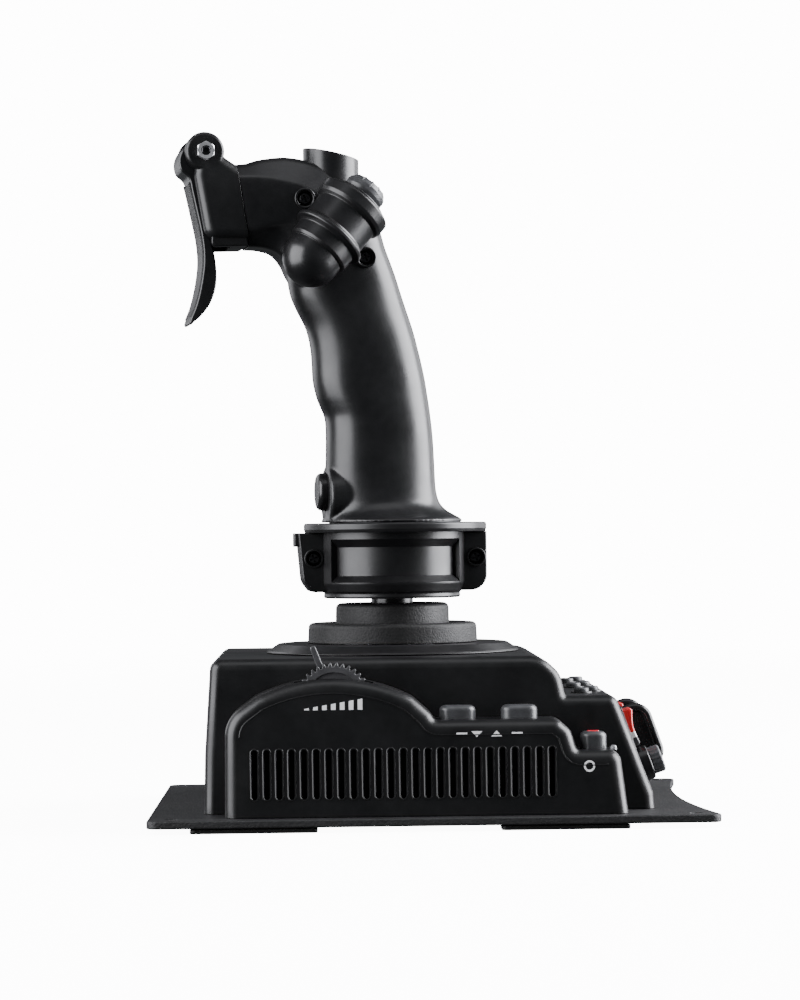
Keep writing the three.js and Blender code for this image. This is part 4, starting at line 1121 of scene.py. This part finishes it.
for k in range(7):
    x, top = -52.0 + 3.6 * k, 49.5 + 0.6 * k
    sign(f"throttle_bar_{k + 1}", [(x, 49.0), (x + 1.9, 49.0), (x + 1.9, top + 0.4), (x, top)])
for k, x in enumerate((9.3, 31.7)):
    sign(f"flap_dash_{k + 1}", [(x, 38.1), (x + 4.4, 38.1), (x + 4.4, 39.2), (x, 39.2)])
for name, x, way in (("down", 17.6, -1), ("up", 25.6, 1)):
    foot, tip = 38.65 - 1.1 * way, 38.65 + 1.3 * way
    sign(f"flap_arrow_{name}", [(x - 2.2, foot), (x, tip), (x + 2.2, foot)][::way])
sign("mode_ring", circle(2.3, 63, 25.1, 40), circle(1.5, 63, 25.1, 40))

# ---- floor, light and camera ----
bpy.ops.mesh.primitive_grid_add(x_subdivisions=8, y_subdivisions=8, size=9)
floor = bpy.context.object
floor.name = "floor"
pale = bpy.data.materials.new("pale_floor")
pale.use_nodes = True
nodes, links = pale.node_tree.nodes, pale.node_tree.links
shader = nodes["Principled BSDF"]
fill(shader, Base_Color=(0.86, 0.86, 0.86, 1), Emission_Color=(1, 1, 1, 1), Emission_Strength=11.0,
     Roughness=0.75, Specular_IOR_Level=0.15)
coordinates = nodes.new("ShaderNodeTexCoord")
distance = nodes.new("ShaderNodeVectorMath")
distance.operation = "LENGTH"
links.new(coordinates.outputs["Object"], distance.inputs[0])
fade = nodes.new("ShaderNodeMapRange")
fade.interpolation_type = "SMOOTHSTEP"
fill(fade, From_Min=0.35, From_Max=2.2, To_Min=1.0, To_Max=0.0)
links.new(distance.outputs["Value"], fade.inputs["Value"])
links.new(fade.outputs["Result"], shader.inputs["Alpha"])
floor.data.materials.append(pale)
floor.visible_glossy = False
floor.visible_diffuse = False

world = bpy.data.worlds.new("studio")
bpy.context.scene.world = world
world.use_nodes = True
nodes, links = world.node_tree.nodes, world.node_tree.links
background = nodes["Background"]
fill(background, Color=(1, 1, 1, 1), Strength=14.0)
around = nodes.new("ShaderNodeBackground")
fill(around, Color=(0.9, 0.95, 1, 1), Strength=0.11)
path = nodes.new("ShaderNodeLightPath")
mix = nodes.new("ShaderNodeMixShader")
links.new(path.outputs["Is Camera Ray"], mix.inputs["Fac"])
links.new(around.outputs["Background"], mix.inputs[1])
links.new(background.outputs["Background"], mix.inputs[2])
links.new(mix.outputs["Shader"], nodes["World Output"].inputs["Surface"])


def softbox(name, place, target, size, energy):
    light = bpy.data.lights.new(name, "AREA")
    light.shape = "RECTANGLE"
    light.size, light.size_y = size
    light.energy = energy
    light.color = (0.955, 0.96, 1.0)
    made = bpy.data.objects.new(name, light)
    bpy.context.scene.collection.objects.link(made)
    made.visible_camera = False
    made.location = place
    made.rotation_euler = (Vector(target) - Vector(place)).to_track_quat("-Z", "Y").to_euler()


MIDDLE = (0, 0, 0.15)
softbox("left_strip", (-1.1, -0.5, 0.45), MIDDLE, (1.25, 1.3), 50)
softbox("right_strip", (1.15, 0.05, 0.5), MIDDLE, (0.95, 1.3), 104)
softbox("back_left", (-0.9, 1.0, 0.5), MIDDLE, (0.9, 1.0), 5)
softbox("back_right", (0.9, 1.1, 0.5), MIDDLE, (0.7, 1.0), 6)
softbox("top", (0.0, -0.5, 1.5), MIDDLE, (1.2, 0.9), 5)

camera_data = bpy.data.cameras.new("camera")
camera = bpy.data.objects.new("camera", camera_data)
bpy.context.scene.collection.objects.link(camera)
camera.location = (-0.039, -1.45, 0.1205)
YAW, PITCH, ROLL = math.radians(1.125), math.radians(0.545), math.radians(-0.66)
look = Vector((math.sin(YAW), math.cos(YAW), math.tan(PITCH)))
camera.rotation_mode = "QUATERNION"
camera.rotation_quaternion = look.to_track_quat("-Z", "Y") @ Matrix.Rotation(ROLL, 3, "Z").to_quaternion()
camera_data.lens = 121.0
camera_data.clip_start = 0.05
camera_data.clip_end = 60
bpy.context.scene.camera = camera
